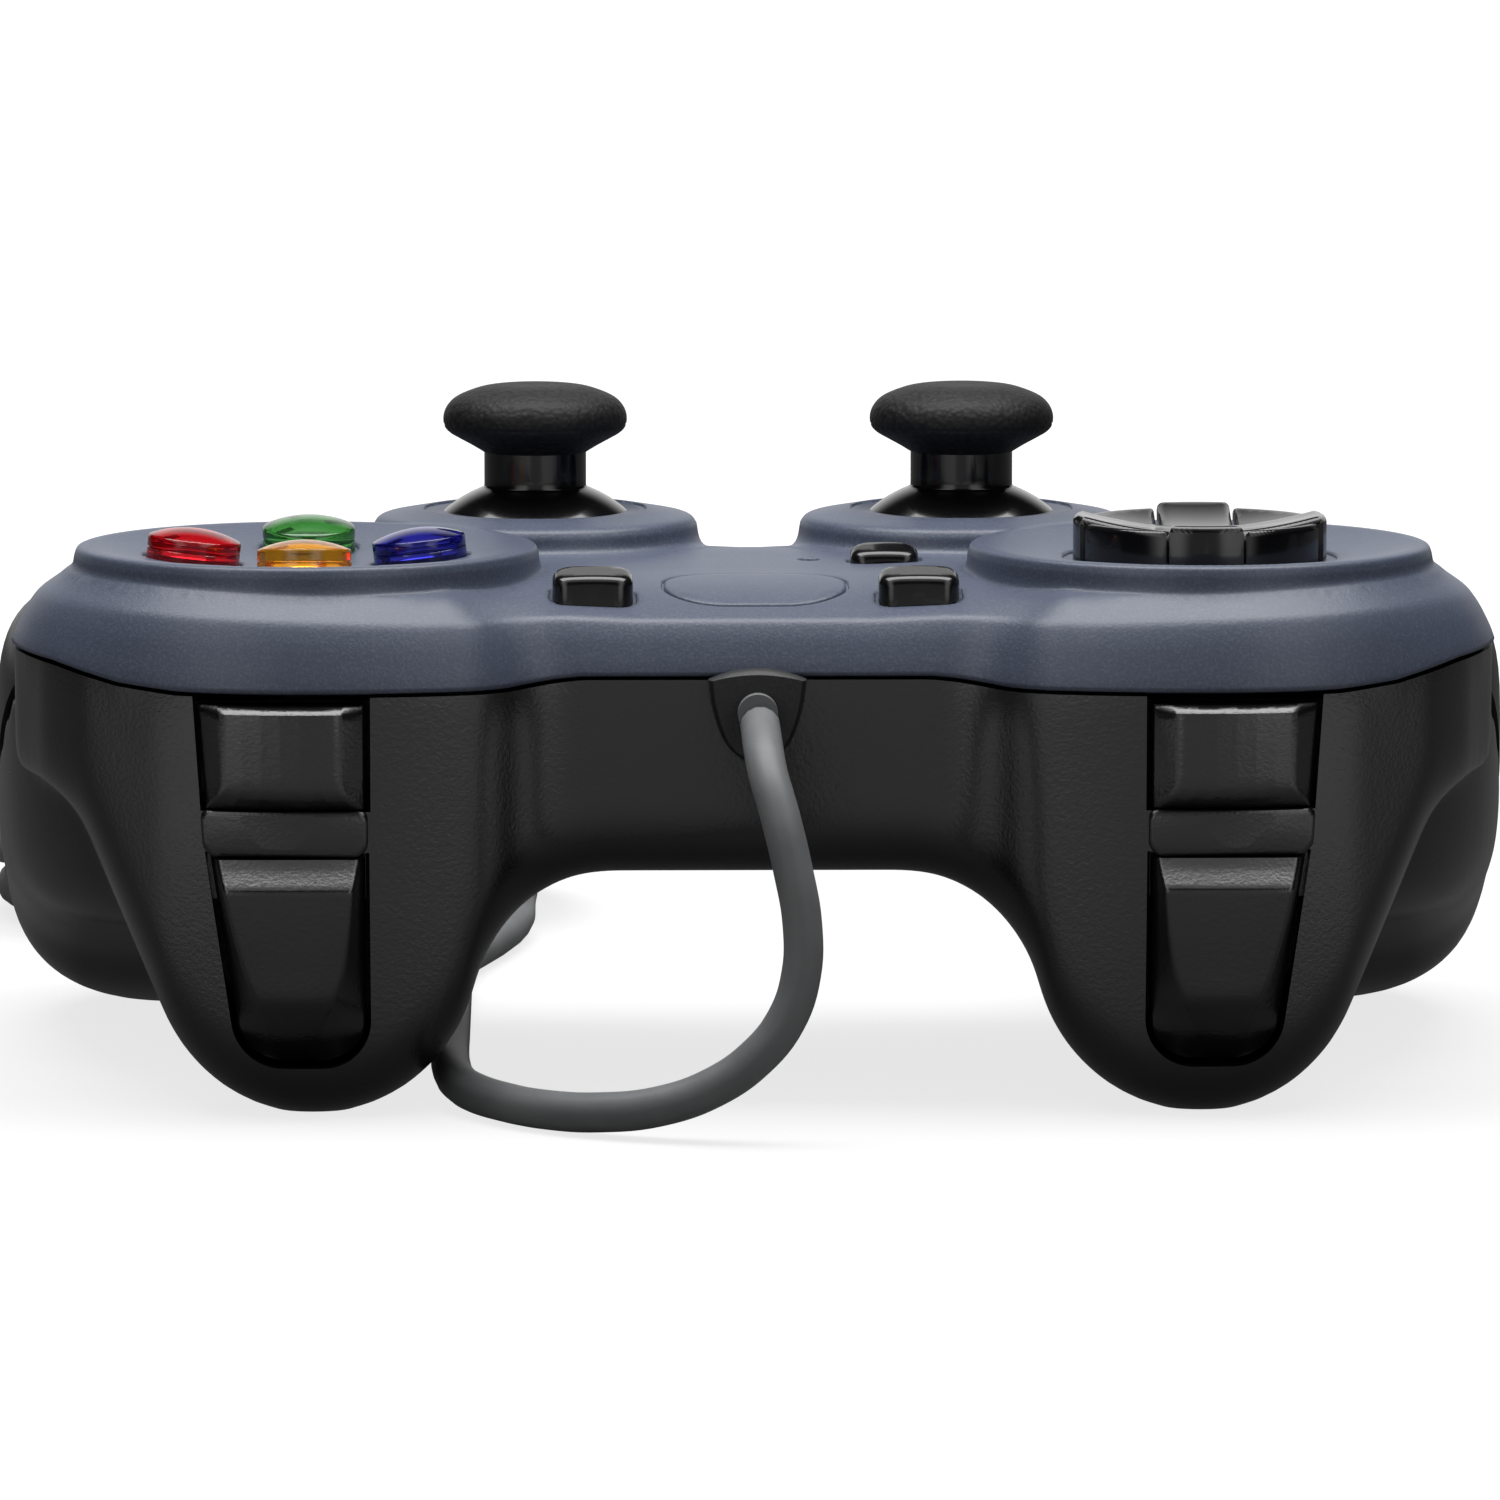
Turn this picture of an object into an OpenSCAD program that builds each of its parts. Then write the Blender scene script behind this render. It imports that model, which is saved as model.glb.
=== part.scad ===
// A wired gamepad that rests on its two trigger lobes and its two handles.
// Millimetres, +Z up, the cable side towards -Y, the player at +Y and the player's left hand at +X.

/* [Body outline] */
// Sideways place of each control disc
disc_x = 45.4; // [43:0.1:48]
// Fore and aft place of the control discs
disc_y = -20; // [-22:0.5:-18]
// Plan radius of the body round each disc
body_r = 30; // [29:0.5:31.5]
// Front face of the middle
front_y = -42; // [-44:0.5:-41]
// Plan fillet between the middle and each lobe
front_fillet = 14; // [10:1:16]
// Sideways place of each stick
stick_x = 22.2; // [21.5:0.1:23.5]
// Fore and aft place of the sticks
stick_y = 10; // [9:0.5:12]
// Plan radius of the body round each stick
rear_r = 20; // [19:0.5:21]
// Rear edge of the middle
rear_y = 19; // [18:0.5:20]
// Plan fillet between a disc end and a stick end
side_fillet = 8; // [6:1:10]
// Plan fillet between a stick end and the rear edge
rear_fillet = 6; // [4:1:7]

/* [Body heights] */
// Height of the seam between the two shells
seam_z = 42.6; // [41.5:0.1:43.5]
// Height of the deck where it is flat
deck_z = 51.4; // [51:0.1:52]
// Height of the belly under the middle
belly_z = 23; // [21:0.5:24]
// Height of the underside behind the lobes
rear_belly_z = 30; // [29:0.5:30.5]
// Height of the outer hip beside a lobe
hip_z = 32; // [30:0.5:33]
// Wall thickness of the shells
wall = 2.2; // [1.8:0.1:2.4]
// Gap between two shells at a seam
seam_gap = 0.15; // [0.1:0.05:0.25]

/* [Trigger lobes] */
// Sideways place of the lowest point of a lobe
lobe_x = 44.4; // [43.5:0.1:45.5]
// Radius of a lobe in the front view
lobe_r = 16.5; // [16:0.5:17.5]
// Fillet between a lobe and the belly in the front view
lobe_fillet = 14.2; // [12:0.2:15]
// Slope of a lobe's outer flank in degrees
flank_angle = 66; // [62:1:70]
// Fillet between a lobe's flank and the hip
hip_fillet = 8; // [6:1:9]
// Rear of the lobes
lobe_rear_y = -16; // [-18:0.5:-14]
// Round at the lower edge of the front wall
lobe_edge_r = 7; // [5:0.5:8]
// Lean of the front wall over its height
front_lean = 1.2; // [0.6:0.1:1.6]
// Depth of the flat that each foot stands on
foot_flat = 0.5; // [0.3:0.1:0.8]

/* [Handles] */
// Sideways place of the handle's middle
handle_x = 58.2; // [57:0.1:59]
// Half width of a handle
handle_rx = 20; // [19:0.1:20.5]
// Tip of a handle
handle_tip_y = 52.4; // [50:0.1:54]
// Fore and aft start of the sloping parting between shell and grip cover
parting_y = -14; // [-16:0.5:-12]
// Fall of that parting for each millimetre towards the tip
parting_fall = 0.81; // [0.75:0.01:0.85]

/* [Control discs] */
// Radius of a disc's rounded crest
disc_crest_r = 21.4; // [20.8:0.1:22]
// Height of the crest
disc_crest_z = 55; // [54.6:0.1:55.4]
// Radius of the dish in a disc's top
dish_r = 85; // [78:1:95]
// Distance of a face button from its disc's centre
face_pitch = 11.6; // [11:0.1:12]
// Diameter of a face button
face_d = 9.5; // [9:0.1:9.8]
// Height of a face button's side over the dish
face_side_h = 2.2; // [1.9:0.1:2.5]
// Height of a face button's dome
face_dome_h = 1; // [0.8:0.1:1.2]
// Travel of a face button
face_travel = 1.2; // [1:0.1:1.4]
// Radius of the direction pad
dpad_r = 12.6; // [12.2:0.1:12.8]
// Width of one arm of the direction pad
dpad_arm_w = 7.4; // [6.6:0.1:8]
// Height of the direction pad's rim
dpad_rim_z = 57.4; // [57:0.1:57.8]
// Radius of the dish in the direction pad
dpad_dish_r = 60; // [50:1:75]

/* [Sticks] */
// Height of a stick's pivot
pivot_z = 43.6; // [43.2:0.1:44]
// Outer radius of a stick's dome
dome_r = 14.9; // [14.6:0.1:15.1]
// Radius of the opening in a stick's collar
collar_hole_r = 11.5; // [11.2:0.1:11.8]
// Height of the collar at its opening
collar_z = 55.3; // [55:0.1:55.6]
// Outer radius of a collar
collar_r = 16.8; // [16.6:0.1:17.2]
// Radius of a stick's neck
neck_r = 5.3; // [5:0.1:5.5]
// Radius of the thumb pad
pad_r = 9.55; // [9:0.05:10]
// Top of the thumb pad
pad_top_z = 68.2; // [67.6:0.1:68.6]
// Thickness of the thumb pad
pad_h = 7.4; // [7:0.1:7.8]
// Tilt of a stick each way on each axis, in degrees
stick_tilt = 15; // [12:1:15]
// Press of a stick
stick_press = 0.5; // [0.3:0.1:0.5]

/* [Small buttons] */
// Sideways place of the two outer small buttons
small_x = 16.4; // [16:0.1:17]
// Fore and aft place of those buttons
small_y = -33.2; // [-34:0.2:-32.4]
// Width of those buttons
small_w = 8.1; // [7.6:0.1:8.6]
// Depth of those buttons
small_d = 5; // [4.6:0.1:5.4]
// Height of a small button over the deck
small_h = 2.3; // [1.8:0.1:2.6]
// Sideways place of the third small button
mode_x = 13.6; // [13:0.1:14]
// Fore and aft place of the third small button
mode_y = -10; // [-10.4:0.2:-9.6]
// Width of the third small button
mode_w = 7; // [6.6:0.1:7.4]
// Width of the oval middle button
home_w = 18.4; // [17:0.2:19]
// Depth of the oval middle button
home_d = 14; // [13:0.2:14.4]
// Fore and aft place of the oval middle button
home_y = -28.4; // [-28.8:0.2:-27.6]
// Travel of the small buttons and the oval one
small_travel = 0.6; // [0.4:0.1:0.8]

/* [Shoulder controls] */
// Outer edge of a shoulder window at its top
window_out_x = 56.4; // [56:0.1:56.8]
// Inner edge of a shoulder window
window_in_x = 38.7; // [38.4:0.1:39.2]
// Underside of a bumper's window
bumper_low_z = 30.9; // [30.6:0.1:31.2]
// Top of a trigger's window
trigger_top_z = 26.8; // [26.4:0.1:27]
// Lowest point of a trigger's window
trigger_low_z = 5; // [4.6:0.1:5.6]
// Gap round a bumper or trigger in its window
window_gap = 0.55; // [0.5:0.05:0.7]
// How far a bumper stands out of the lobe
bumper_proud = 1.4; // [1:0.1:1.8]
// Travel of a bumper
bumper_travel = 0.8; // [0.6:0.1:0.9]
// How far a trigger's edge stands out of the lobe
trigger_proud = 2.4; // [2:0.1:2.8]
// How far a trigger's pin lies behind the lobe's front
pin_setback = 6.8; // [6.6:0.1:7]
// Height of a trigger's pin
pin_z = 28.8; // [28.5:0.1:29]
// Radius of a trigger's pin
pin_r = 1.25; // [1.1:0.05:1.3]
// Running clearance of a pin or axle in its bore
run_gap = 0.05; // [0.03:0.01:0.08]

/* [Inside] */
// Underside of the main board
board_z = 36; // [35.8:0.1:36.2]
// Thickness of the main board
board_t = 1.6; // [1.2:0.1:1.6]
// Gap round a button in its opening
button_gap = 0.3; // [0.25:0.05:0.4]
// Radius of a shell screw's shank
screw_r = 1.2; // [1:0.1:1.3]

/* [Cable] */
// Diameter of the cord
cord_d = 4; // [3.8:0.1:4.2]
// Radius of the coil at the middle of its turns
coil_r = 24.6; // [23:0.1:25]
// Distance between neighbouring turns
coil_step = 5.1; // [5:0.1:5.4]
// Height of one layer of turns
coil_rise = 5.1; // [5:0.1:5.4]
// Turns in each layer before the climb
coil_turns = 2; // [2:1:3]
// Layers of turns
coil_layers = 4; // [2:2:4]

/* [Hidden] */
LEFT = 1;
RIGHT = -1;
EPS = 0.01;
$fn = 48;

// Shared places
disc_gap_z = disc_crest_z - disc_crest_r * disc_crest_r / (2 * dish_r);
dish_centre_z = disc_gap_z + dish_r;
ceiling_z = deck_z - wall;
board_top = board_z + board_t;
floor_z = rear_belly_z + wall;
front_floor_z = belly_z + wall;
face_r = face_d / 2;
face_tilt = asin(face_pitch / dish_r);
stick_socket_r = dome_r + 0.6;
lobe_front_y = disc_y - body_r;
pin_y = lobe_front_y + pin_setback;
small_low = board_top + 5.3 + small_travel;

// Points of a circular arc, and the same without its first point
function arc(c, r, a0, a1, n) = [for (i = [0:n]) c + r * [cos(a0 + (a1 - a0) * i / n), sin(a0 + (a1 - a0) * i / n)]];
function arc_on(c, r, a0, a1, n, back = 0) = [for (i = [1:n]) let (a = a0 + (a1 - a0) * (i - back) / n) c + r * [cos(a), sin(a)]];

// The point at distance ra from a and rb from b, on the right of the way from a to b
function apex(a, b, ra, rb) =
    let (d = norm(b - a), along = (d * d + ra * ra - rb * rb) / (2 * d),
        up = sqrt(ra * ra - along * along), u = (b - a) / d)
    a + along * u + up * [u[1], -u[0]];

function heading(a, b) = atan2(b[1] - a[1], b[0] - a[0]);
function power(v, p) = sign(v) * pow(abs(v), p);
function lifted(points, z) = [for (p = points) [p[0], p[1], z]];
function mirrored(half) = concat(half,
    [for (i = [len(half) - 1:-1:0]) if (half[i][0] > EPS) [-half[i][0], half[i][1]]]);

// Plan outline of the body, drawn in by d. Offset arcs keep their centres.
// The points of every second ring sit half a step back, so that no facet of a wall is split in one plane.
disc_c = [disc_x, disc_y];
stick_c = [stick_x, stick_y];
front_reach = body_r + front_fillet;
front_drop = front_y - front_fillet - disc_y;
front_c = [disc_x - sqrt(front_reach * front_reach - front_drop * front_drop), front_y - front_fillet];
side_c = apex(disc_c, stick_c, body_r + side_fillet, rear_r + side_fillet);
rear_reach = rear_r + rear_fillet;
rear_lift = rear_y + rear_fillet - stick_y;
rear_c = [stick_x - sqrt(rear_reach * rear_reach - rear_lift * rear_lift), rear_y + rear_fillet];
function outline_half(d, back = 0) = concat(
    [[0, front_y + d], [front_c[0] / 2, front_y + d], [front_c[0], front_y + d]],
    arc_on(front_c, front_fillet + d, 90, heading(front_c, disc_c), 3, back),
    arc_on(disc_c, body_r - d, heading(disc_c, front_c), heading(disc_c, side_c), 16, back),
    arc_on(side_c, side_fillet + d, heading(side_c, disc_c), heading(side_c, stick_c), 3, back),
    arc_on(stick_c, rear_r - d, heading(stick_c, side_c), heading(stick_c, rear_c), 7, back),
    arc_on(rear_c, rear_fillet + d, heading(rear_c, stick_c), -90, 2, back),
    [[0, rear_y - d]]);
function outline(d, back = 0) = mirrored(outline_half(d, back));

// Front wall of the body in plan, drawn in by d
function front_at(x, d) =
    let (a = abs(x), turn = heading(front_c, disc_c))
    a < front_c[0] ? front_y + d
    : a < front_c[0] + (front_fillet + d) * cos(turn)
        ? front_c[1] + sqrt(pow(front_fillet + d, 2) - pow(a - front_c[0], 2))
        : disc_y - sqrt(max(1, pow(body_r - d, 2) - pow(a - disc_x, 2)));

// Lower edge of the front wall in the front view, drawn in by d
lobe_c = [lobe_x, lobe_r - foot_flat];
belly_reach = lobe_r + lobe_fillet;
belly_drop = belly_z - lobe_fillet - lobe_c[1];
belly_c = [lobe_x - sqrt(belly_reach * belly_reach - belly_drop * belly_drop), belly_z - lobe_fillet];
flank_end = lobe_c + lobe_r * [sin(flank_angle), -cos(flank_angle)];
hip_start_z = hip_z - hip_fillet + hip_fillet * cos(flank_angle);
hip_c = [flank_end[0] + (hip_start_z - flank_end[1]) / tan(flank_angle) + hip_fillet * sin(flank_angle),
    hip_z - hip_fillet];
body_end_x = disc_x + body_r;
function under_half(d) = concat(
    [[0, belly_z + d], [belly_c[0] / 2, belly_z + d]],
    arc(belly_c, lobe_fillet + d, 90, heading(belly_c, lobe_c), 5),
    arc_on(lobe_c, lobe_r - d, heading(lobe_c, belly_c) + 360, 270 + flank_angle, 11),
    arc(hip_c, hip_fillet + d, 90 + flank_angle, 112, 3),
    [[body_end_x - d - 0.4, hip_z + d]]);
function under(d) = let (h = under_half(d)) concat(
    [for (i = [len(h) - 1:-1:1]) [-h[i][0], h[i][1]]], h);

// Section of the front beam at one place of its lower edge
function beam_section(p, d, top) =
    let (yf = front_at(p[0], d), yb = min(lobe_rear_y, 2 * disc_y - front_at(p[0], 0)) - d,
        r = min(lobe_edge_r - d, 0.45 * (seam_z - p[1]), 0.45 * (yb - yf)),
        yl = yf + front_lean * (seam_z - p[1]) / seam_z)
    concat([[p[0], yf, top], [p[0], yf, seam_z - 1]],
        [for (i = [0:4]) [p[0], yl + r - r * cos(22.5 * i), p[1] + r - r * sin(22.5 * i)]],
        [for (i = [0:2]) [p[0], yb - r + r * sin(45 * i), p[1] + r - r * cos(45 * i)]],
        [[p[0], yb, top]]);

// Handle stations: share of the length, sideways shift, middle height, width share, half height, squareness
handle_root_y = -30;
handle_stations = [[0, -6.2, 31, 0.5, 8, 2.4], [0.1, -3.7, 31, 0.775, 13, 2.8], [0.22, -1.5, 31.2, 0.93, 16.3, 3.3],
    [0.365, -0.2, 31, 0.99, 18.4, 3.9], [0.51, 0.1, 28, 1, 19.8, 3.2], [0.63, 0.3, 24, 0.98, 21, 2.8],
    [0.74, -0.2, 20.8, 0.92, 20.5, 2.5], [0.837, -1, 18.3, 0.81, 18.2, 2.3], [0.91, -1.7, 17, 0.65, 14.8, 2.2],
    [0.965, -2.3, 16.3, 0.45, 10.3, 2.1], [1, -2.6, 16, 0.16, 4, 2]];
handle_sides = 22;
function handle_ring(s, d) = [for (i = [0:handle_sides - 1])
    let (a = 360 * (i + 0.5) / handle_sides)
    [handle_x + s[1] - (handle_rx * s[3] - d) * power(cos(a), 2 / s[5]),
        handle_root_y + (handle_tip_y - d - handle_root_y) * s[0],
        s[2] + (s[4] - d) * power(sin(a), 2 / s[5])]];

// A solid through a row of rings that all have the same number of points
module skin(rings) {
    n = len(rings[0]);
    m = len(rings);
    polyhedron(points = [for (r = rings) each r],
        faces = concat([[for (i = [0:n - 1]) i]],
            [for (k = [0:m - 2], i = [0:n - 1], h = [0:1])
                let (a = k * n + i, b = k * n + (i + 1) % n)
                h == 0 ? [a, a + n, b] : [b, a + n, b + n]],
            [[for (i = [n - 1:-1:0]) (m - 1) * n + i]]));
}
// A solid through a row of outlines, each given by its inset and its height
module rings(rows, d) {
    skin([for (i = [0:len(rows) - 1]) lifted(outline(rows[i][0] + d, (i % 2) / 2), rows[i][1])]);
}
module both() {
    children();
    mirror([1, 0, 0]) children();
}
module on_side(s) {
    if (s > 0) children();
    else mirror([1, 0, 0]) children();
}

// Solid blanks that the shells are cut from, drawn in by d
crease_z = deck_z - 2.1;
module deck_blank(d, low) {
    rise = crease_z - seam_z;
    rings([[0, low], [0.3, seam_z + 0.12 * rise], [1.6, seam_z + 0.69 * rise], [2.3, crease_z - 0.8],
        [3, crease_z], [5, crease_z + 0.6], [9, crease_z + 1.4], [14, deck_z]], d);
}
module deck_hollow() {
    rise = crease_z - seam_z;
    rings([[wall, seam_z - 1], [wall + 0.1, seam_z + 0.1 * rise], [wall + 1.2, seam_z + 0.5 * rise],
        [wall + 2.6, ceiling_z - 1.5], [14.5, ceiling_z]], 0);
}
module slab(d, top) {
    rings([[7, rear_belly_z + d], [4, rear_belly_z + 0.6 + d], [1.8, rear_belly_z + 2.5 + d],
        [0.7, rear_belly_z + 6], [0.09, top]], d);
}
module beam(d, top) {
    skin([for (p = under(d)) beam_section(p, d, top)]);
}
module handle(d) {
    skin([for (s = handle_stations) handle_ring(s, d)]);
}
module over_parting(gap) {
    // everything above the sloping parting of the left handle
    translate([0, parting_y, seam_z + gap]) rotate([-atan(parting_fall), 0, 0]) translate([0, -60, 0]) cube([120, 200, 120]);
}

// Places of the screws that hold the shells, the grip covers and the main board
shell_screws_at = [[25.4, -25], [-25.4, -25], [0, 13], [disc_x + 23.6, disc_y], [-disc_x - 23.6, disc_y]];
grip_screw_at = [57, 24];
board_screws_at = [[30.5, -9.5], [50, -1.5], [26, -34]];
membrane_r = 16;
connector_y = front_y + wall + 1.8;
board_clear = 0.6;
function parting_z(y) = seam_z - parting_fall * (y - parting_y);
function screw_seat_z(p) = (p[1] < lobe_rear_y && abs(p[0]) < lobe_x ? belly_z : rear_belly_z) + 4;
grip_seat_z = 6;
face_places = [[-1, 0], [1, 0], [0, 1], [0, -1]];
gland_z = 40.2;

// Extrudes an outline drawn in x and z from y0 to y1
module upright(y0, y1) {
    translate([0, y1, 0]) rotate([90, 0, 0]) linear_extrude(y1 - y0) children();
}
module rod_x(x0, x1, r) {
    translate([x0, 0, 0]) rotate([0, 90, 0]) cylinder(r = r, h = x1 - x0);
}
module rod_y(y0, y1, r) {
    translate([0, y1, 0]) rotate([90, 0, 0]) cylinder(r = r, h = y1 - y0);
}
module block(x0, x1, y0, y1, z0, z1) {
    translate([x0, y0, z0]) cube([x1 - x0, y1 - y0, z1 - z0]);
}
module rounded_block(w, d, h, r) {
    translate([-w / 2 + r, -d / 2, 0]) cube([w - 2 * r, d, h]);
    translate([-w / 2, -d / 2 + r, 0]) cube([w, d - 2 * r, h]);
    for (x = [-1, 1], y = [-1, 1]) translate([x * (w / 2 - r), y * (d / 2 - r), 0]) cylinder(r = r, h = h);
}

// Windows in the lobes, drawn in by g
bumper_out_low_x = window_out_x - 0.9;
trigger_out_x = window_out_x - 1.3;
module bumper_shape(g, top) {
    polygon([[window_in_x - 0.13 + g, bumper_low_z + g], [bumper_out_low_x - g, bumper_low_z + g],
        [window_out_x - g, top], [window_in_x - 0.13 + g, top]]);
}
module trigger_shape(g) {
    hull() {
        translate([window_in_x + g, trigger_top_z - g - 1]) square([trigger_out_x - window_in_x - 2 * g, 1]);
        translate([window_in_x + 4.7, trigger_low_z + 4.8]) circle(4.8 - g);
        translate([trigger_out_x - 7.7, trigger_low_z + 5.2]) circle(5.2 - g);
    }
}

// Shells
module lower_blank(d) {
    intersection() {
        union() {
            slab(d, seam_z + d);
            beam(d, seam_z + d);
            both() difference() {
                handle(d);
                over_parting(0);
            }
        }
        block(-100, 100, -80, 80, d, seam_z);
    }
}
module bottom_shell() color("#222326") difference() {
    union() {
        difference() {
            lower_blank(0);
            slab(wall, seam_z + 1);
            beam(wall, seam_z + 1);
            both() handle(wall);
        }
        intersection() {
            lower_blank(0.5 * wall);
            union() {
                for (p = shell_screws_at) translate([p[0], p[1], 0]) {
                    cylinder(r = 3.2, h = seam_z, $fn = 14);
                    cylinder(r = 4.2, h = screw_seat_z(p) + 2, $fn = 14);
                }
                both() {
                    translate([grip_screw_at[0], grip_screw_at[1], 0]) cylinder(r = 4.2, h = parting_z(grip_screw_at[1] + 5), $fn = 14);
                    for (p = board_screws_at) translate([p[0], p[1], 0]) cylinder(r = 2.6, h = board_z, $fn = 12);
                    // ribs that stiffen the handle
                    for (y = [4, 34]) hull() {
                        translate([grip_screw_at[0] - 14, y, 0]) cylinder(r = 0.6, h = parting_z(y) - 3, $fn = 6);
                        translate([grip_screw_at[0] + 14, y, 0]) cylinder(r = 0.6, h = parting_z(y) - 3, $fn = 6);
                    }
                    for (x = [16, 30]) hull() {
                        translate([x, -38, 0]) cylinder(r = 0.6, h = rear_belly_z, $fn = 6);
                        translate([x, -18, 0]) cylinder(r = 0.6, h = rear_belly_z, $fn = 6);
                    }
                }
            }
        }
    }
    for (p = shell_screws_at) translate([p[0], p[1], -1]) {
        cylinder(r = screw_r + 0.2, h = seam_z + 2, $fn = 14);
        cylinder(r = 2.8, h = screw_seat_z(p) + 1, $fn = 14);
    }
    both() {
        translate([grip_screw_at[0], grip_screw_at[1], -1]) {
            cylinder(r = screw_r + 0.2, h = seam_z, $fn = 14);
            cylinder(r = 2.8, h = grip_seat_z + 1, $fn = 14);
        }
        for (p = board_screws_at) translate([p[0], p[1], board_z - 3]) cylinder(r = 1, h = 8, $fn = 12);
        upright(lobe_front_y - 4, lobe_front_y + 8) bumper_shape(0, seam_z + 1);
        upright(lobe_front_y - 4, lobe_front_y + 8) trigger_shape(0);
    }
    // notch of the cable gland
    block(-3.5, 3.5, front_y - 2, front_y + wall + 1.4, gland_z - 3.7, seam_z + 1);
}

function dish_z(r) = dish_centre_z - sqrt(dish_r * dish_r - r * r);
function dish_under_z(r) = dish_centre_z - sqrt(pow(dish_r + wall, 2) - r * r);
disc_profile = concat(
    [for (i = [0:3]) [disc_crest_r * i / 3, dish_z(disc_crest_r * i / 3)]],
    [[disc_crest_r + 1.1, disc_crest_z - 0.35], [disc_crest_r + 1.8, disc_crest_z - 1.2],
        [disc_crest_r + 2.1, disc_crest_z - 2.8], [disc_crest_r + 2.9, deck_z - 0.5], [disc_crest_r + 4, deck_z - 1],
        [disc_crest_r + 4, ceiling_z - 0.55], [disc_crest_r - 0.8, ceiling_z - 0.55]],
    [for (i = [2:-1:0]) [(disc_crest_r - 0.8) * i / 2, dish_under_z((disc_crest_r - 0.8) * i / 2)]]);
collar_profile = [[collar_hole_r, collar_z - 1.6], [collar_hole_r, collar_z - 0.3], [collar_hole_r + 0.4, collar_z],
    [collar_r - 1.2, collar_z - 0.8], [collar_r - 0.3, collar_z - 1.4], [collar_r, collar_z - 2.2],
    [collar_r + 0.4, deck_z + 0.6], [collar_r + 1.6, deck_z - 0.6], [collar_r + 1.6, ceiling_z - 0.45],
    [collar_hole_r, ceiling_z - 0.45]];
module at_face(p) {
    translate([-disc_x + face_pitch * p[0], disc_y + face_pitch * p[1], dish_z(face_pitch)])
        rotate([face_tilt * p[1], -face_tilt * p[0], 0]) children();
}
module at_small(x, y) {
    translate([x, y, 0]) children();
}
module top_shell() color("#8fa3bd") difference() {
    union() {
        difference() {
            deck_blank(0, seam_z);
            deck_hollow();
            both() translate([disc_x, disc_y, seam_z - 1]) cylinder(r = disc_crest_r + 1.5, h = 20, $fn = 48);
        }
        both() {
            translate([disc_x, disc_y, 0]) rotate_extrude($fn = 48) polygon(disc_profile);
            translate([stick_x, stick_y, 0]) rotate_extrude($fn = 36) polygon(collar_profile);
        }
        for (p = shell_screws_at) translate([p[0], p[1], seam_z]) cylinder(r = 3.2, h = ceiling_z - seam_z - 0.6, $fn = 14);
        // ribs under the deck
        both() hull() {
            translate([4, -38, ceiling_z - 2.4]) cylinder(r = 0.5, h = 2.6, $fn = 6);
            translate([15, -38, ceiling_z - 2.4]) cylinder(r = 0.5, h = 2.6, $fn = 6);
        }
        both() hull() {
            translate([23.4, -37, ceiling_z - 2.4]) cylinder(r = 0.5, h = 2.6, $fn = 6);
            translate([23.4, -22, ceiling_z - 2.4]) cylinder(r = 0.5, h = 2.6, $fn = 6);
        }
        hull() {
            translate([0, 1, ceiling_z - 2.4]) cylinder(r = 0.5, h = 2.6, $fn = 6);
            translate([0, 12, ceiling_z - 2.4]) cylinder(r = 0.5, h = 2.6, $fn = 6);
        }
        hull() {
            translate([-3, 4, ceiling_z - 2.4]) cylinder(r = 0.5, h = 2.6, $fn = 6);
            translate([3, 4, ceiling_z - 2.4]) cylinder(r = 0.5, h = 2.6, $fn = 6);
        }
    }
    both() translate([stick_x, stick_y, 0]) {
        translate([0, 0, pivot_z]) sphere(r = stick_socket_r, $fn = 30);
        translate([0, 0, pivot_z]) cylinder(r = collar_hole_r, h = 30, $fn = 36);
    }
    translate([disc_x, disc_y, ceiling_z]) cylinder(r = dpad_r + 1.3, h = 20, $fn = 48);
    for (p = face_places) at_face(p) translate([0, 0, -8]) cylinder(r = face_r + button_gap, h = 20, $fn = 24);
    for (x = [-small_x, small_x]) at_small(x, small_y) translate([0, 0, seam_z])
        rounded_block(small_w + 2 * button_gap, small_d + 2 * button_gap, 20, 1.8, $fn = 16);
    at_small(mode_x, mode_y) translate([0, 0, seam_z])
        rounded_block(mode_w + 2 * button_gap, small_d - 0.6 + 2 * button_gap, 20, 1.8, $fn = 16);
    at_small(0, home_y) translate([0, 0, seam_z])
        rounded_block(home_w + 2 * button_gap, home_d + 2 * button_gap, 20, home_d / 2 - 0.2, $fn = 32);
    at_small(mode_x - 7.7, mode_y + 1.5) translate([0, 0, seam_z]) cylinder(r = 1.05, h = 20, $fn = 16);
    for (p = shell_screws_at) translate([p[0], p[1], seam_z - 1]) cylinder(r = screw_r + 0.08, h = 6, $fn = 14);
}
module grip_cover(s) color("#2a2b2e") on_side(s) difference() {
    union() {
        difference() {
            intersection() {
                handle(0);
                over_parting(seam_gap);
            }
            handle(wall);
        }
        intersection() {
            handle(0.5 * wall);
            over_parting(seam_gap);
            translate([grip_screw_at[0], grip_screw_at[1], 0]) rotate([0, 0, 7]) cylinder(r = 3.4, h = 60, $fn = 12);
        }
        intersection() {
            handle(0.5 * wall);
            over_parting(seam_gap);
            for (y = [11, 17, 32, 37], x = [-12, 0]) hull() {
                translate([grip_screw_at[0] + x, y, parting_z(y) + 9]) cylinder(r = 0.6, h = 40, $fn = 6);
                translate([grip_screw_at[0] + x + 12, y, parting_z(y) + 9]) cylinder(r = 0.6, h = 40, $fn = 6);
            }
        }
    }
    deck_blank(-seam_gap, seam_z - 0.6);
    slab(-seam_gap, seam_z);
    beam(-seam_gap, seam_z);
    translate([grip_screw_at[0], grip_screw_at[1], 0]) cylinder(r = screw_r + 0.08, h = 24, $fn = 12);
}
module left_grip_cover() grip_cover(LEFT);
module right_grip_cover() grip_cover(RIGHT);
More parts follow.
